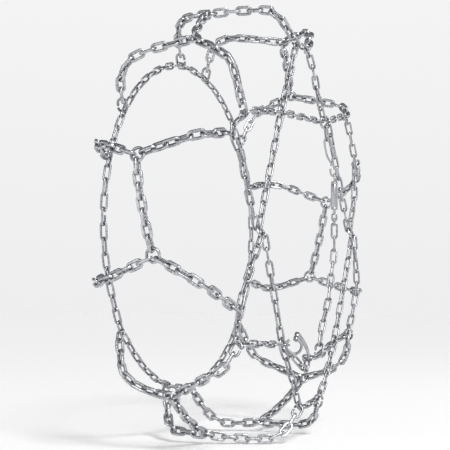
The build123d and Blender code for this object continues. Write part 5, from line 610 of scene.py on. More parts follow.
        (184.9, -177.97, -110.56, -0.4049, 0.0004, -0.9144, 0.1847, -0.9794, -0.0822),
        (172.59, -178.3, -143.52, -0.324, -0.0191, -0.9459, -0.9304, -0.175, 0.3222),
        (159.75, -178.92, -176.1, -0.3794, -0.0267, -0.9249, -0.1411, 0.9896, 0.0293),
        (143.31, -179.78, -206.85, -0.5595, -0.0185, -0.8286, 0.8243, 0.0925, -0.5586),
        (121.93, -180.4, -234.8, -0.66, -0.0154, -0.7511, 0.0487, -0.9986, -0.0223),
        (101.35, -181.07, -263.24, -0.5246, -0.0216, -0.8511, -0.8513, 0.0186, 0.5243),
        (85.36, -181.92, -294.49, -0.3691, -0.0278, -0.929, 0.0442, 0.9979, -0.0475),
    ]),
    ("tail_hook", "hook", [
        (73.9, -182.78, -323.55, -0.3558, -0.0286, -0.9341, 0.9345, -0.0184, -0.3554),
    ]),
    ("tread_ring_1", "ring", [
        (-541.47, -26.97, -97.33, 0.1915, 0.1544, -0.9693, -0.9806, -0.012, -0.1957),
    ]),
    ("tread_ring_2", "ring", [
        (-535.77, 17.99, 126.75, -0.2166, 0.2816, -0.9348, -0.9732, 0.014, 0.2297),
    ]),
    ("tread_ring_3", "ring", [
        (-355.7, -27.44, 419.73, -0.7015, 0.3682, -0.6102, -0.6596, -0.0113, 0.7515),
    ]),
    ("tread_ring_4", "ring", [
        (-160.17, 24.64, 526.56, -0.8964, 0.3554, -0.2649, -0.2826, 0.0022, 0.9592),
    ]),
    ("tread_ring_5", "ring", [
        (184.66, -30.06, 518.45, -0.9178, 0.2336, 0.3211, 0.3297, -0.0027, 0.9441),
    ]),
    ("tread_ring_6", "ring", [
        (375.1, 21.96, 402.74, -0.7223, 0.0941, 0.6852, 0.689, 0.0126, 0.7246),
    ]),
    ("tread_ring_7", "ring", [
        (541.39, -28.32, 98.86, -0.1859, -0.1562, 0.9701, 0.9821, 0.0004, 0.1883),
    ]),
    ("tread_ring_8", "ring", [
        (535.94, 22.06, -124.26, 0.2396, -0.2844, 0.9283, 0.969, 0.0112, -0.2467),
    ]),
    ("tread_ring_9", "ring", [
        (355.29, -27.14, -419.98, 0.6936, -0.3668, 0.62, 0.6617, -0.0158, -0.7496),
    ]),
    ("tread_ring_10", "ring", [
        (159.41, 23.52, -526.75, 0.8968, -0.3577, 0.2605, 0.2779, -0.0028, -0.9606),
    ]),
    ("tread_ring_11", "ring", [
        (-154.15, 26.49, -528.31, 0.9272, -0.2595, -0.27, -0.2718, 0.0297, -0.9619),
    ]),
    ("tread_ring_12", "ring", [
        (-355.8, 19.65, -420.22, 0.7612, -0.1141, -0.6384, -0.6417, 0.0103, -0.7669),
    ]),
    ("junction_ring_1", "ring", [
        (-273.76, -167, -35.07, -0.8971, 0.213, 0.3872, 0, -0.8762, 0.4819),
    ]),
    ("junction_ring_2", "ring", [
        (-149.61, -166.95, 266.83, -0.5558, -0.0015, 0.8313, 0.0026, -1, -0.0001),
    ]),
    ("junction_ring_3", "ring", [
        (154.2, -168.19, 282.46, -0.8049, 0.4048, -0.4339, -0.4423, -0.8967, -0.0161),
    ]),
    ("junction_ring_4", "ring", [
        (366.24, -168.45, -5.91, -0.8896, 0.1828, 0.4186, 0.0037, -0.9135, 0.4067),
    ]),
    ("junction_ring_5", "ring", [
        (223.36, -170, -307.43, -0.5547, 0, 0.8321, 0, -1, 0),
    ]),
    ("junction_ring_6", "ring", [
        (-138.08, -166.21, -303.05, -0.5439, -0.0225, 0.8389, 0.0377, -0.9993, -0.0024),
    ]),
]

# ------------------------------------------------------------------ meshes
rng = np.random.default_rng(7)


def unit(v):
    v = np.asarray(v, float)
    return v / np.linalg.norm(v)


def link_path(length, width, wire, gap=None, arc=12):
    """Centre line of a link with its in-plane outward direction, its half straight length and its bend radius; the
    weld side is sampled more finely.
    """
    r = (width - wire) / 2
    h = (length - width) / 2
    P, N = [], []

    def straight(x0, x1, side, inner, skip_last=True):
        xs = np.array(inner(x0, x1))
        for x in xs:
            P.append((x, side * r, 0.0))
            N.append((0.0, side, 0.0))

    def weld_steps(x0, x1):
        m = (x0 + x1) / 2
        s = 1 if x1 > x0 else -1
        return [x0, m - s * 2.6, m - s * 1.7, m - s * 1.1, m - s * 0.55, m, m + s * 0.55, m + s * 1.1, m + s * 1.7, m + s * 2.6]

    def plain_steps(x0, x1):
        return list(np.linspace(x0, x1, 5)[:-1])

    if gap:
        a, b = gap
        straight(a, -h, 1, lambda x0, x1: np.linspace(x0, x1, 4)[:-1])
    else:
        straight(h, -h, 1, weld_steps)
    for i in range(arc):
        t = math.pi / 2 + math.pi * i / arc
        P.append((-h + r * math.cos(t), r * math.sin(t), 0.0))
        N.append((math.cos(t), math.sin(t), 0.0))
    straight(-h, h, -1, plain_steps)
    for i in range(arc + 1):
        t = -math.pi / 2 + math.pi * i / arc
        if not gap and i == arc:
            break
        P.append((h + r * math.cos(t), r * math.sin(t), 0.0))
        N.append((math.cos(t), math.sin(t), 0.0))
    if gap and b < h - 1e-6:
        for x in np.linspace(h, b, 3)[1:]:
            P.append((x, r, 0.0))
            N.append((0.0, 1.0, 0.0))
    P, N = np.array(P), np.array(N)
    return P, N, h, r


def section_round(n, r):
    a = np.linspace(0, 2 * math.pi, n, endpoint=False)
    return np.stack([r * np.cos(a), r * np.sin(a)], 1)


def section_square(half, corner):
    """Rounded square, starting at the outward side."""
    pts = []
    k = half - corner
    for cx, cy, a0 in ((k, k, 0), (-k, k, 90), (-k, -k, 180), (k, -k, 270)):
        for a in np.linspace(a0, a0 + 90, 5):
            pts.append((cx + corner * math.cos(math.radians(a)), cy + corner * math.sin(math.radians(a))))
    return np.array(pts)


def grid_faces(n, m, closed, offset=0):
    faces = []
    for i in range(n if closed else n - 1):
        a, b = i * m, ((i + 1) % n) * m
        for j in range(m):
            k = (j + 1) % m
            faces.append((offset + a + j, offset + b + j, offset + b + k, offset + a + k))
    return faces


def make_link(kind, variant):
    """Local vertices (mm), faces and the weld, outer-wear and inner attributes of one link; the inner attribute is
    painted shade on the faces turned into the loop.
    """
    r_ = np.random.default_rng(100 + variant)
    if kind == "tread":
        P, N, h, r = link_path(45.0, 24.5, 7.0)
        S = section_square(3.5, 2.2)
    elif kind == "side":
        P, N, h, r = link_path(47.2, 20.0, 5.4)
        S = section_round(14, 2.7)
    elif kind == "small":
        P, N, h, r = link_path(24.0, 17.5, 5.0, arc=10)
        S = section_round(14, 2.5)
    elif kind == "hook":
        P, N, h, r = link_path(41.0, 27.0, 6.4, gap=(0.0, 7.0))
        S = section_round(16, 3.2)
    elif kind == "open":
        P, N, h, r = link_path(47.2, 20.0, 5.4, gap=(3.0, 11.0))
        S = section_round(14, 2.7)
    closed = kind in ("tread", "side", "small")
    n, m = len(P), len(S)
    rad = np.max(np.abs(S))
    Z = np.array([0.0, 0.0, 1.0])
    weld = np.exp(-((P[:, 0] / 1.25) ** 2)) * (P[:, 1] > 0) if closed else np.zeros(n)
    bend = np.clip((np.abs(P[:, 0]) - h) / max(r, 1e-6), 0, 1)
    verts, aw, ab, inner_shade = [], [], [], []
    ph = r_.uniform(0, 6.28, 4)
    for i in range(n):
        ang = np.arctan2(S[:, 1], S[:, 0])
        # upset weld bead, a little lopsided, and the wire thinned on the outside of each bend
        bead = weld[i] * (0.07 + 0.045 * np.cos(ang * 2 + ph[0]) + 0.03 * np.sin(ang * 5 + ph[1]))
        thin = -0.045 * bend[i] * np.clip(np.cos(ang), 0, 1) ** 2
        groove = -0.05 * bend[i] ** 6 * np.clip(-np.cos(ang), 0, 1) ** 2
        rough = 0.006 * np.sin(ang * 3 + ph[2] + i * 0.9)
        k = 1 + bead + thin + groove + rough
        for j in range(m):
            u, v = S[j] * k[j]
            verts.append(P[i] + N[i] * u + Z * v)
            aw.append(weld[i])
            ab.append(bend[i] * max(0.0, math.cos(ang[j])))
            # inner: painted shade, so faces turned into the loop get darker, most of all inside the bends
            inner_shade.append(max(0.0, -math.cos(ang[j])) * (0.5 + 0.5 * bend[i]))
    faces = grid_faces(n, m, closed)
    if not closed:
        # rounded ends
        for end, sgn in ((0, -1), (n - 1, 1)):
            t = unit(P[1] - P[0]) if end == 0 else unit(P[-1] - P[-2])
            c = P[end]
            prev = [end * m + j for j in range(m)]
            for f_, o_ in ((0.82, 0.34), (0.5, 0.55)):
                ring = []
                for j in range(m):
                    ring.append(len(verts))
                    verts.append(c + (np.array(verts[end * m + j]) - c) * f_ + t * sgn * rad * o_ * 0.5)
                    aw.append(0.6)
                    ab.append(0.0)
                    inner_shade.append(0.3)
                for j in range(m):
                    k = (j + 1) % m
                    q = (prev[j], prev[k], ring[k], ring[j])
                    faces.append(q if end == 0 else q[::-1])
                prev = ring
            cap = len(verts)
            verts.append(c + t * sgn * rad * 0.32)
            aw.append(0.6)
            ab.append(0.0)
            inner_shade.append(0.3)
            for j in range(m):
                k = (j + 1) % m
                q = (prev[j], prev[k], cap)
                faces.append(q if end == 0 else q[::-1])
    return np.array(verts), faces, np.array(aw), np.array(ab), np.array(inner_shade)


def make_ring(variant, R=16.0, wire=7.0, n=56, m=18):
    r_ = np.random.default_rng(300 + variant)
    ph = r_.uniform(0, 6.28, 3)
    verts, aw, ab, inner_shade = [], [], [], []
    for i in range(n):
        a = 2 * math.pi * i / n
        w = math.exp(-((((a + math.pi) % (2 * math.pi)) - math.pi) * R / 1.5) ** 2)
        e = np.array([math.cos(a), math.sin(a), 0])
        for j in range(m):
            t = 2 * math.pi * j / m
            k = 1 + w * (0.06 + 0.04 * math.cos(2 * t + ph[0])) + 0.006 * math.sin(3 * t + a * 5 + ph[1])
            verts.append(e * (R + wire / 2 * k * math.cos(t)) + np.array([0, 0, wire / 2 * k * math.sin(t)]))
            aw.append(w)
            ab.append(max(0.0, math.cos(t)))
            # inner: painted shade on the ring's inward-facing side
            inner_shade.append(0.7 * max(0.0, -math.cos(t)))
    return np.array(verts), [f[::-1] for f in grid_faces(n, m, True)], np.array(aw), np.array(ab), np.array(inner_shade)


def build(name, verts, faces, attrs=None, smooth=True):
    """verts in metres."""
    me = bpy.data.meshes.new(name)
    me.from_pydata([tuple(v) for v in verts], [], [tuple(f) for f in faces])
    me.validate()
    for key, val in (attrs or {}).items():
        at = me.attributes.new(key, "FLOAT", "POINT")
        at.data.foreach_set("value", np.asarray(val, np.float32))
    if smooth:
        me.polygons.foreach_set("use_smooth", [True] * len(me.polygons))
    me.update()
    ob = bpy.data.objects.new(name, me)
    bpy.context.scene.collection.objects.link(ob)
    return ob


def fix_normals(ob):
    """Turn the faces of every closed shell outward."""
    import bmesh
    bm = bmesh.new()
    bm.from_mesh(ob.data)
    bmesh.ops.remove_doubles(bm, verts=bm.verts, dist=1e-7)
    wires = [e for e in bm.edges if not e.link_faces]
    if wires:
        bmesh.ops.delete(bm, geom=wires, context="EDGES")
    bmesh.ops.recalc_face_normals(bm, faces=bm.faces)
    bm.to_mesh(ob.data)
    bm.free()
    ob.data.update()


VARIANTS = {k: [make_link(k, v) for v in range(5)] for k in ("tread", "side", "small", "hook", "open")}


def chain_piece(name, groups):
    """One object from all the links of a node."""
    V, F, W, B, I, T, o = [], [], [], [], [], [], 0
    for kind, rows in groups:
        for row in rows:
            c, d, z = np.array(row[0:3]), unit(row[3:6]), np.array(row[6:9], float)
            z = unit(z - d * (z @ d))
            y = np.cross(z, d)
            if kind == "ring":
                v, f, w, b, painted_inner_shade = make_ring(int(rng.integers(0, 1000)))
            else:
                v, f, w, b, painted_inner_shade = VARIANTS[kind][int(rng.integers(0, 5))]
            flip = 1.0
            if kind in ("tread", "side", "small") and rng.random() < 0.5:
                flip = -1.0
            R = np.stack([d * flip, y * flip, z], 1)
            V.append((v @ R.T + c) * M)
            F.extend([tuple(x + o for x in q) for q in f])
            W.append(w)
            B.append(b)
            # the inner attribute carries the painted shade of the loop insides
            I.append(painted_inner_shade)
            T.append(np.full(len(v), rng.random()))
            o += len(v)
    ob = build(name, np.concatenate(V), F, {"weld": np.concatenate(W), "outer": np.concatenate(B), "inner": np.concatenate(I), "tone": np.concatenate(T)})
    fix_normals(ob)
    return ob


def lathe(name, profile, x, y, n=64, tone=0.5):
    """Closed solid of revolution about a vertical axis; profile is (radius, z) in mm from axis to axis."""
    V, F = [], []
    m = len(profile)
    for i in range(n):
        a = 2 * math.pi * i / n
        for r, z in profile:
            V.append(((x + r * math.cos(a)) * M, (y + r * math.sin(a)) * M, z * M))
    for i in range(n):
        p, q = i * m, ((i + 1) % n) * m
        for j in range(m - 1):
            F.append((p + j, q + j, q + j + 1, p + j + 1))
        if profile[0] != profile[-1] and profile[0][0] > 1e-6:
            F.append((p + m - 1, q + m - 1, q, p))
    ob = build(name, V, F, {"weld": np.zeros(len(V)), "outer": np.zeros(len(V)), "inner": np.zeros(len(V)), "tone": np.full(len(V), tone)})
    return ob


def tube_along(points, radius, n=16, closed=False, up=(0, 0, 1), caps=True):
    """Vertices (mm) and faces of a round wire along points, with parallel-transported frames."""
    P = np.asarray(points, float)
    k = len(P)
    T = np.gradient(P, axis=0)
    if closed:
        T = (np.roll(P, -1, 0) - np.roll(P, 1, 0))
    T /= np.linalg.norm(T, axis=1)[:, None]
    a = unit(np.cross(T[0], np.asarray(up, float) + 1e-3))
    V, F = [], []
    rad = np.broadcast_to(np.asarray(radius, float), (k,))
    for i in range(k):
        a = unit(a - T[i] * (a @ T[i]))
        b = np.cross(T[i], a)
        for j in range(n):
            t = 2 * math.pi * j / n
            V.append(P[i] + rad[i] * (a * math.cos(t) + b * math.sin(t)))
    F = grid_faces(k, n, closed)
    if not closed and caps:
        for end, s in ((0, -1), (k - 1, 1)):
            c = len(V)
            V.append(P[end] + T[end] * s * rad[end] * 0.25)
            for j in range(n):
                q = (end * n + j, end * n + (j + 1) % n, c)
                F.append(q if s < 0 else q[::-1])
    return np.array(V), F


def join(name, parts, tone=0.5):
    V, F, o = [], [], 0
    for v, f in parts:
        V.append(np.asarray(v) * M)
        F.extend([tuple(x + o for x in q) for q in f])
        o += len(v)
    V = np.concatenate(V)
    ob = build(name, V, F, {"weld": np.zeros(len(V)), "outer": np.zeros(len(V)), "inner": np.zeros(len(V)), "tone": np.full(len(V), tone)})
    fix_normals(ob)
    return ob


# --------------------------------------------------------------- materials
def zinc(name, base, dark, rough, scale=1.0, weld_tint=(0.20, 0.19, 0.18), wear=(0.86, 0.86, 0.87), spangle=0.5, relief=0.42):
    """Zinc-plated steel: cloudy passivation, fine grain, scratches, duller weld, polished outer faces, and painted
    shade darkening the faces turned into each loop.
    """
    m = bpy.data.materials.new(name)
    m.use_nodes = True
    nt = m.node_tree
    nt.nodes.clear()
    N, Lk = nt.nodes.new, nt.links.new
    outp = N("ShaderNodeOutputMaterial")
    b = N("ShaderNodeBsdfPrincipled")
    b.inputs["Metallic"].default_value = 1.0
    Lk(b.outputs[0], outp.inputs[0])
    co = N("ShaderNodeTexCoord")

    def noise(s, detail, rough_=0.55, dist=0.0):
        n = N("ShaderNodeTexNoise")
        n.inputs["Scale"].default_value = s
        n.inputs["Detail"].default_value = detail
        n.inputs["Roughness"].default_value = rough_
        n.inputs["Distortion"].default_value = dist
        Lk(co.outputs["Object"], n.inputs["Vector"])
        return n.outputs["Fac"]

    def ramp(src, lo, hi, c0=(0, 0, 0), c1=(1, 1, 1)):
        r = N("ShaderNodeValToRGB")
        r.color_ramp.elements[0].position = lo
        r.color_ramp.elements[1].position = hi
        r.color_ramp.elements[0].color = (*c0, 1)
        r.color_ramp.elements[1].color = (*c1, 1)
        Lk(src, r.inputs[0])
        return r.outputs[0]

    def mix(fac, a, c, mode="MIX"):
        x = N("ShaderNodeMix")
        x.data_type = "RGBA"
        x.blend_type = mode
        for sock, val in ((x.inputs[0], fac), (x.inputs[6], a), (x.inputs[7], c)):
            if isinstance(val, bpy.types.NodeSocket):
                Lk(val, sock)
            elif isinstance(val, tuple):
                sock.default_value = (*val, 1) if len(val) == 3 else val
            else:
                sock.default_value = val
        return x.outputs[2]

    def math_(op, a, c=None):
        x = N("ShaderNodeMath")
        x.operation = op
        for sock, val in ((x.inputs[0], a), (x.inputs[1], c)):
            if val is None:
                continue
            if isinstance(val, bpy.types.NodeSocket):
                Lk(val, sock)
            else:
                sock.default_value = val
        return x.outputs[0]

    def attr(n):
        a = N("ShaderNodeAttribute")
        a.attribute_name = n
        return a.outputs["Fac"]

    cloud = noise(55 * scale, 5, 0.6, 0.4)
    fine = noise(900 * scale, 3, 0.6)
    vor = N("ShaderNodeTexVoronoi")
    vor.inputs["Scale"].default_value = 420 * scale
    Lk(co.outputs["Object"], vor.inputs["Vector"])
    tone = attr("tone")
    weld = attr("weld")
    outer = attr("outer")
    inner = attr("inner")
    col = mix(ramp(cloud, 0.37, 0.62), dark, base)
    col = mix(math_("MULTIPLY", ramp(vor.outputs["Color"], 0.1, 0.9), spangle * 0.60), col, (0.76, 0.77, 0.80))
    col = mix(math_("MULTIPLY", tone, 0.30), col, tuple(x * 0.62 for x in base))
    col = mix(math_("MULTIPLY", ramp(noise(260 * scale, 4, 0.7), 0.60, 0.74), 0.55), col, (0.16, 0.155, 0.15))
    # painted shade: the inner faces of each loop are darkened towards a deep grey
    col = mix(math_("MULTIPLY", inner, 0.72), col, tuple(x * 0.42 for x in dark))
    col = mix(math_("MULTIPLY", weld, 0.75), col, weld_tint)
    col = mix(math_("MULTIPLY", math_("MULTIPLY", outer, ramp(noise(140 * scale, 4), 0.42, 0.62)), 0.55), col, wear)
    Lk(col, b.inputs["Base Color"])
    r1 = math_("ADD", math_("MULTIPLY", cloud, 0.30), rough - 0.13)
    r1 = math_("ADD", r1, math_("MULTIPLY", weld, 0.18))
    r1 = math_("ADD", r1, math_("MULTIPLY", inner, 0.16))
    r1 = math_("SUBTRACT", r1, math_("MULTIPLY", outer, 0.06))
    r1 = math_("ADD", r1, math_("MULTIPLY", ramp(vor.outputs["Color"], 0.2, 0.8), 0.07))
    # drawing lines and handling scratches, running many ways
    scr = N("ShaderNodeTexNoise")
    scr.inputs["Scale"].default_value = 520 * scale
    scr.inputs["Detail"].default_value = 3
    ms = N("ShaderNodeMapping")
    ms.inputs["Scale"].default_value = (0.06, 1.0, 0.5)
    ms.inputs["Rotation"].default_value = (0.2, 1.1, 0.7)
    Lk(co.outputs["Object"], ms.inputs["Vector"])
    Lk(ms.outputs[0], scr.inputs["Vector"])
    scratch = ramp(scr.outputs["Fac"], 0.60, 0.70)
    r1 = math_("SUBTRACT", r1, math_("MULTIPLY", scratch, 0.10))
    Lk(r1, b.inputs["Roughness"])
    wave = N("ShaderNodeTexNoise")
    wave.inputs["Scale"].default_value = 380 * scale
    wave.inputs["Detail"].default_value = 2
    mp = N("ShaderNodeMapping")
    mp.inputs["Scale"].default_value = (1.0, 1.0, 0.12)
    mp.inputs["Rotation"].default_value = (0.6, 0.4, 0.3)
    Lk(co.outputs["Object"], mp.inputs["Vector"])
    Lk(mp.outputs[0], wave.inputs["Vector"])
    h = math_("ADD", math_("MULTIPLY", fine, 0.5), math_("MULTIPLY", cloud, 0.9))
    h = math_("ADD", h, math_("MULTIPLY", wave.outputs["Fac"], 0.5))
    h = math_("SUBTRACT", h, math_("MULTIPLY", scratch, 0.35))
    bump = N("ShaderNodeBump")
    bump.inputs["Strength"].default_value = relief
    bump.inputs["Distance"].default_value = 0.0006
    Lk(h, bump.inputs["Height"])
    Lk(bump.outputs[0], b.inputs["Normal"])
    return m


MATS = {
    "tread_zinc": zinc("tread_zinc", (0.57, 0.58, 0.60), (0.26, 0.27, 0.29), 0.32, wear=(0.76, 0.76, 0.78)),
    "side_zinc": zinc("side_zinc", (0.50, 0.51, 0.53), (0.22, 0.23, 0.25), 0.35, wear=(0.68, 0.68, 0.70)),
    "ring_zinc": zinc("ring_zinc", (0.58, 0.59, 0.61), (0.28, 0.29, 0.31), 0.31, wear=(0.74, 0.74, 0.76)),
    "hook_steel": zinc("hook_steel", (0.47, 0.48, 0.50), (0.20, 0.21, 0.23), 0.36, wear=(0.66, 0.66, 0.68), spangle=0.3),
    "tube_zinc": zinc("tube_zinc", (0.50, 0.51, 0.53), (0.34, 0.35, 0.37), 0.24, spangle=0.25, relief=0.16),
    "fitting_zinc": zinc("fitting_zinc", (0.52, 0.53, 0.55), (0.28, 0.29, 0.31), 0.31, scale=0.9, relief=0.3),
    "spring_steel": zinc("spring_steel", (0.38, 0.38, 0.40), (0.19, 0.19, 0.20), 0.36),
}
SLOT = {s["node"]: s["material_slot"] for s in frame["record"]["subparts"]}
BODY = {n: b for b, ns in frame["record"]["behaviour"]["bodies"].items() for n in ns}


def finish_piece(ob, node, *more):
    ob.data.materials.clear()
    ob.data.materials.append(MATS[SLOT[node]])
    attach(ob, BODY[node])
    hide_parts(node, *more)
    return ob


groups = {}
for node, kind, rows in PLACES:
    groups.setdefault(node, []).append((kind, rows))
for node, g in groups.items():
    finish_piece(chain_piece(node + "_steel", g), node)

# ------------------------------------------------------- spring tensioner
TX, TY = 201.0, -178.0


def eye_parts(size, z, normal, n=14):
    wire, width, length = size
    P, Nn, h, r = link_path(length, width, wire, arc=12)
    nz = unit(normal)
    d = np.array([0.0, 0.0, 1.0])
    y = np.cross(nz, d)
    R = np.stack([d, y, nz], 1)
    W = P @ R.T + np.array([TX, TY, z])
    v, f = tube_along(W, wire / 2, n=n, closed=True, up=nz)
    return v, f


tube_profile = [
    (7.5, 52.0), (8.6, 52.0), (9.15, 52.25), (9.4, 52.9), (9.4, 54.2), (9.05, 54.9), (8.75, 55.5), (9.05, 56.1), (9.4, 56.9),
    (9.4, 62.0), (9.38, 90.0), (9.4, 118.6), (9.1, 119.3), (8.85, 120.0), (9.1, 120.7), (9.4, 121.5), (9.4, 124.4), (9.1, 125.6),
    (8.2, 126.6), (6.6, 127.0), (5.0, 127.0), (3.0, 126.85), (0.0, 126.8),
]
tube_in = [(0.0, 122.0), (7.0, 122.0), (7.5, 121.5), (7.5, 52.0)]
housing = lathe("tensioner_housing_shell", tube_profile + tube_in, TX, TY, n=72)
ev, ef = eye_parts((5.0, 18.0, 26.0), 137.0, (0.3304, -0.9439, 0.0))
housing_eye = join("tensioner_housing_eye", [(ev, ef)])
fix_normals(housing)
finish_piece(housing, "tensioner_housing")
housing_eye.data.materials.append(MATS["fitting_zinc"])
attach(housing_eye, BODY["tensioner_housing"])

cap = lathe("tensioner_cap_disc", [(4.15, 50.4), (7.9, 50.4), (8.7, 50.7), (9.0, 51.2), (8.9, 51.95), (7.5, 52.0), (7.5, 57.0), (4.15, 57.0)], TX, TY, n=60)
fix_normals(cap)
finish_piece(cap, "tensioner_end_cap")

rod = lathe("tensioner_rod_shaft", [
    (0.0, 37.6), (2.6, 37.8), (3.6, 38.6), (4.0, 40.2), (4.0, 113.4), (4.6, 113.7), (6.6, 114.0), (7.1, 114.5), (7.1, 119.5), (6.6, 120.0), (0.0, 120.0),
], TX, TY, n=48)
rv, rf = eye_parts((5.0, 17.0, 24.0), 29.5, (0.9326, 0.361, 0.0))
rod_eye = join("tensioner_rod_eye", [(rv, rf)])
fix_normals(rod)
finish_piece(rod, "tensioner_rod")
rod_eye.data.materials.append(MATS["fitting_zinc"])
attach(rod_eye, "tensioner_rod")

turns, n = 9.0, 9 * 28
coil = []
for i in range(n + 1):
    f = i / n
    # closed end coils
    zf = f + 0.030 * math.sin(2 * math.pi * f)
    a = 2 * math.pi * turns * f
    coil.append((TX + 5.8 * math.cos(a), TY + 5.8 * math.sin(a), 58.25 + (112.75 - 58.25) * min(max(zf, 0), 1)))
sv, sf = tube_along(coil, 1.0, n=10)
spring = join("tensioner_coil", [(sv, sf)], tone=0.2)
finish_piece(spring, "tensioner_spring")
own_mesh(spring)

# ------------------------------------------------- figure-of-eight wire hook
FOOT, FDIR, FNORM, FL = np.array([201.0, -178.0, 141.6]), unit((-0.3576, 0.0714, 0.9312)), unit((0.8944, 0.313, 0.3195)), 107.13


def spline(P, per=10):
    P = np.asarray(P, float)
    Q = np.vstack([2 * P[0] - P[1], P, 2 * P[-1] - P[-2]])
    out = []
    for i in range(1, len(Q) - 2):
        p0, p1, p2, p3 = Q[i - 1:i + 3]
        for t in np.linspace(0, 1, per, endpoint=False):
            out.append(0.5 * ((2 * p1) + (-p0 + p2) * t + (2 * p0 - 5 * p1 + 4 * p2 - p3) * t * t + (-p0 + 3 * p1 - 3 * p2 + p3) * t ** 3))
    out.append(P[-1])
    return np.array(out)


EIGHT = [
    (22, -6.4, 0.8), (11, -8.2, 0), (3.0, -5.8, 0), (0.35, 0, 0), (3.0, 5.8, 0), (11, 8.2, 0), (24, 5.4, -1.6), (36, 0, -3.2),
    (48, -5.6, -1.8), (64, -9.0, 0), (FL - 16, -9.0, 0), (FL - 4.5, -6.4, 0), (FL, 0, 0), (FL - 4.5, 6.4, 0), (FL - 16, 9.0, 0),
    (64, 9.0, 0), (48, 5.6, 1.8), (36, 0, 3.2), (29.5, -4.2, 3.8),
]
fz = unit(FNORM - FDIR * (FNORM @ FDIR))
FR = np.stack([FDIR, np.cross(fz, FDIR), fz], 1)
ev8 = spline(EIGHT, 8) @ FR.T + FOOT
r8 = np.full(len(ev8), 2.8)
r8[0], r8[-1] = 2.2, 2.2
hv, hf = tube_along(ev8, r8, n=18, up=fz)
hook8 = join("tensioner_hook_wire", [(hv, hf)])
finish_piece(hook8, "tensioner_hook")

# ------------------------------------------------------------ closing lever
PIV, LX, PZ = np.array([-78.375, -182.0, -282.0]), unit((0.7777, 0.0, -0.6286)), unit((0.6286, 0.0, 0.7777))
LY = np.cross(PZ, LX)
LR = np.stack([LX, LY, PZ], 1)


def circle3(p, q, r_, n):
    """n points on the circle through three points of the plane."""
    ax, ay, bx, by, cx, cy = *p, *q, *r_
    d = 2 * (ax * (by - cy) + bx * (cy - ay) + cx * (ay - by))
    ux = ((ax * ax + ay * ay) * (by - cy) + (bx * bx + by * by) * (cy - ay) + (cx * cx + cy * cy) * (ay - by)) / d
    uy = ((ax * ax + ay * ay) * (cx - bx) + (bx * bx + by * by) * (ax - cx) + (cx * cx + cy * cy) * (bx - ax)) / d
    a0, a1 = math.atan2(ay - uy, ax - ux), math.atan2(cy - uy, cx - ux)
    while a1 - a0 > math.pi:
        a1 -= 2 * math.pi
    while a1 - a0 < -math.pi:
        a1 += 2 * math.pi
    R = math.hypot(ax - ux, ay - uy)
    return [(ux + R * math.cos(a), uy + R * math.sin(a)) for a in np.linspace(a0, a1, n)]


def lever_mesh():
    """Forged strip: arched blade with rounded edges and a raised rib, rolled knuckle, round claw at the tip."""
    parts = []
    n = 40
    outer_ = circle3((0, -6.2), (48.3, -11.5), (96.6, -4.0), n)
    inner_ = circle3((0, -2.2), (48.3, -7.5), (96.6, 0.0), n)
    V, F = [], []
    m = 0
    for i in range(n):
        f = i / (n - 1)
        o, q = np.array(outer_[i]), np.array(inner_[i])
        w = 6.5
        if f > 0.93:
            w = 6.5 * math.sqrt(max(0.12, 1 - ((f - 0.93) / 0.075) ** 2))
        mid, hv_ = (o + q) / 2, (o - q) / 2
        rib = 0.0 if f < 0.08 or f > 0.9 else 0.7 * math.sin(math.pi * (f - 0.08) / 0.82) ** 0.5
        ring = []
        prof = [(-1.0, -0.45), (-0.93, -0.85), (-0.8, -1.0), (-0.4, -1.0), (0, -1.0), (0.4, -1.0), (0.8, -1.0), (0.93, -0.85), (1.0, -0.45),
                (1.0, 0.45), (0.93, 0.85), (0.8, 1.0), (0.5, 1.0), (0.34, 1.0 - rib * 0.35), (0, 1.0 - rib * 0.5), (-0.34, 1.0 - rib * 0.35), (-0.5, 1.0), (-0.8, 1.0), (-0.93, 0.85), (-1.0, 0.45)]
        for a, t in prof:
            p2 = mid + hv_ * t
            V.append((p2[0], p2[1], a * w))
        m = len(prof)
    F = grid_faces(n, m, False)
    for end in (0, n - 1):
        c = len(V)
        V.append(tuple(np.mean(np.array(V[end * m:(end + 1) * m]), axis=0)))
        for j in range(m):
            q = (end * m + j, end * m + (j + 1) % m, c)
            F.append(q if end == 0 else q[::-1])
    parts.append((np.array(V), F))
    # knuckle with bore
    V, F = [], []
    prof = [(3.06, -6.3), (3.3, -6.5), (6.4, -6.5), (7.0, -6.0), (7.0, 6.0), (6.4, 6.5), (3.3, 6.5), (3.06, 6.3)]
    k, m = 40, len(prof)
    for i in range(k):
        a = 2 * math.pi * i / k
        for r_, z in prof:
            V.append((r_ * math.cos(a), r_ * math.sin(a), z))
    for i in range(k):
        p, q = i * m, ((i + 1) % k) * m
        for j in range(m):
            F.append((p + j, q + j, q + (j + 1) % m, p + (j + 1) % m))
    parts.append((np.array(V), F))
    claw = [(94.0, -2.5, 0), (94.0, 0.5, 0), (94.0, 4.0, 0), (94.0, 8.0, 0), (94.0, 10.2, 0), (94.0, 11.4, 0), (94.0, 11.9, 0)]
    parts.append(tube_along(claw, np.array([3.0, 2.9, 2.6, 2.55, 2.45, 1.9, 0.9]), n=18, up=(0, 0, 1)))
    return [(np.asarray(v) @ LR.T + PIV, f) for v, f in parts]


lever = join("closing_lever_arm", lever_mesh())
finish_piece(lever, "closing_lever")

V, F = [], []
prof = [(0.0, -16.35), (3.6, -16.2), (4.7, -15.7), (5.0, -15.2), (5.0, -14.95), (4.6, -14.85), (3.0, -14.85), (3.0, 6.9), (4.6, 6.9), (5.0, 7.05), (5.0, 7.4), (4.6, 7.9), (3.6, 8.25), (0.0, 8.4)]
k, m = 36, len(prof)
for i in range(k):
    a = 2 * math.pi * i / k
    for r_, z in prof:
        V.append((r_ * math.cos(a), r_ * math.sin(a), z))
for i in range(k):
    p, q = i * m, ((i + 1) % k) * m
    for j in range(m - 1):
        F.append((p + j, q + j, q + j + 1, p + j + 1))
pin = join("lever_pin_rivet", [(np.array(V) @ LR.T + PIV, F)], tone=0.8)
finish_piece(pin, "lever_pin")

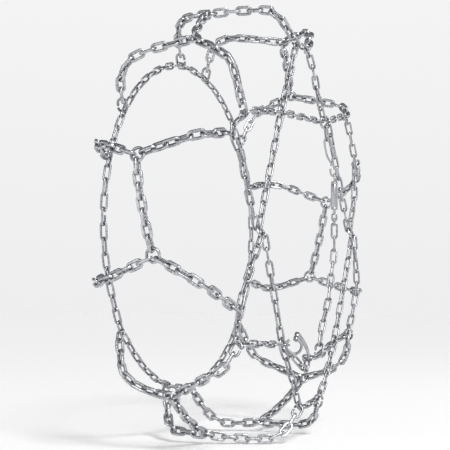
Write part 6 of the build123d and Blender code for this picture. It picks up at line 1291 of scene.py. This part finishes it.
SC, SA = np.array([-87.637, -176.806, -308.681]), unit((0.4118, -0.9113, 0.0))
arc = np.array([SC + 19.0 * (math.cos(t) * SA + math.sin(t) * np.array([0, 0, 1.0])) for t in np.radians(np.linspace(72, -238, 80))])
rr = np.full(80, 3.5)
rr[-1] = 2.7
bow = tube_along(arc, rr, n=20, up=np.cross(SA, (0, 0, 1)))
V, F = [], []
prof = [(3.0, -14.8), (6.9, -14.8), (7.5, -14.3), (7.5, -7.7), (6.9, -7.2), (3.0, -7.2)]
m, k = len(prof), 40
for i in range(k):
    a = 2 * math.pi * i / k
    for r_, z in prof:
        V.append((r_ * math.cos(a), r_ * math.sin(a), z))
for i in range(k):
    p, q = i * m, ((i + 1) % k) * m
    for j in range(m):
        F.append((p + j, q + j, q + (j + 1) % m, p + (j + 1) % m))
shackle = join("closing_shackle_bow", [bow, (np.array(V) @ LR.T + PIV, F)], tone=0.35)
finish_piece(shackle, "closing_shackle")

# ------------------------------------------------------------------- stage
low = BOUNDS_CAD[0][2]
bpy.ops.mesh.primitive_plane_add(size=40, location=(0, 0, low - 0.0005))
floor = bpy.context.active_object
floor.name = "floor"
fm = bpy.data.materials.new("floor_matte")
fm.use_nodes = True
pb = fm.node_tree.nodes["Principled BSDF"]
pb.inputs["Roughness"].default_value = 0.9
fn = fm.node_tree.nodes.new("ShaderNodeTexNoise")
fn.inputs["Scale"].default_value = 3.0
fr = fm.node_tree.nodes.new("ShaderNodeValToRGB")
fr.color_ramp.elements[0].color = (0.88, 0.88, 0.885, 1)
fr.color_ramp.elements[1].color = (0.92, 0.92, 0.925, 1)
fm.node_tree.links.new(fn.outputs["Fac"], fr.inputs[0])
fm.node_tree.links.new(fr.outputs[0], pb.inputs["Base Color"])
pb.inputs["Emission Color"].default_value = (1.0, 1.0, 1.0, 1)
pb.inputs["Emission Strength"].default_value = 0.20
floor.data.materials.append(fm)

world = bpy.data.worlds.new("studio")
bpy.context.scene.world = world
bpy.context.scene.view_settings.view_transform = "Standard"
world.use_nodes = True
wn = world.node_tree
bg = wn.nodes["Background"]
tc = wn.nodes.new("ShaderNodeTexCoord")
sep = wn.nodes.new("ShaderNodeSeparateXYZ")
wn.links.new(tc.outputs["Generated"], sep.inputs[0])


def world_ramp(src, stops):
    r = wn.nodes.new("ShaderNodeValToRGB")
    r.color_ramp.elements[0].position = stops[0][0]
    r.color_ramp.elements[0].color = (*stops[0][1], 1)
    r.color_ramp.elements[1].position = stops[-1][0]
    r.color_ramp.elements[1].color = (*stops[-1][1], 1)
    for p, c in stops[1:-1]:
        e = r.color_ramp.elements.new(p)
        e.color = (*c, 1)
    wn.links.new(src, r.inputs[0])
    return r.outputs[0]


# a pale studio all round, darker overhead so the bright wire keeps its shading
high = world_ramp(sep.outputs["Z"], [(0.0, (0.86, 0.86, 0.87)), (0.25, (0.90, 0.90, 0.905)), (0.42, (0.14, 0.144, 0.15)), (0.75, (0.10, 0.104, 0.11)), (1.0, (0.42, 0.43, 0.45))])
wn.links.new(high, bg.inputs[0])
bg.inputs[1].default_value = 1.0


def area(name, loc, target, size, power, color=(1, 1, 1)):
    d = bpy.data.lights.new(name, "AREA")
    d.shape = "RECTANGLE"
    d.size, d.size_y = size
    d.energy = power
    d.color = color
    o = bpy.data.objects.new(name, d)
    bpy.context.scene.collection.objects.link(o)
    o.location = loc
    o.rotation_euler = (Vector(target) - Vector(loc)).to_track_quat("-Z", "Y").to_euler()
    return o


sd = bpy.data.lights.new("sun", "SUN")
sd.energy = 2.1
sd.angle = math.radians(14)
sd.color = (1.0, 0.985, 0.965)
sun = bpy.data.objects.new("sun", sd)
bpy.context.scene.collection.objects.link(sun)
sun.rotation_euler = (Vector((0, 0, 0)) - Vector((-2.2, -2.6, 3.4))).to_track_quat("-Z", "Y").to_euler()
area("key", (-3.2, -2.6, 2.6), (0, 0, 0), (1.6, 2.2), 44, (1.0, 0.985, 0.965))
area("fill", (-3.6, 1.6, 0.6), (0, 0, 0), (0.8, 2.2), 14, (0.94, 0.97, 1.0))
area("rim", (2.6, -2.6, 1.6), (0, 0, 0), (0.8, 1.6), 14)

# ------------------------------------------------------------------ camera
back = Vector((-0.9095, -0.4111, -0.0608)).normalized()
cam_d = bpy.data.cameras.new("camera")
cam = bpy.data.objects.new("camera", cam_d)
bpy.context.scene.collection.objects.link(cam)
cam_d.lens = 94.12
cam_d.sensor_width = 36.0
cam_d.shift_x = -0.0422
cam_d.shift_y = 0.0006
cam_d.dof.use_dof = False
cam_d.clip_start = 0.01
cam.location = back * 3.082
zc = back
xc = Vector((0, 0, 1)).cross(zc).normalized()
yc = zc.cross(xc)
roll = math.radians(0.324)
x2 = xc * math.cos(roll) + yc * math.sin(roll)
y2 = -xc * math.sin(roll) + yc * math.cos(roll)
cam.rotation_euler = Matrix((x2, y2, zc)).transposed().to_euler()
bpy.context.scene.camera = cam
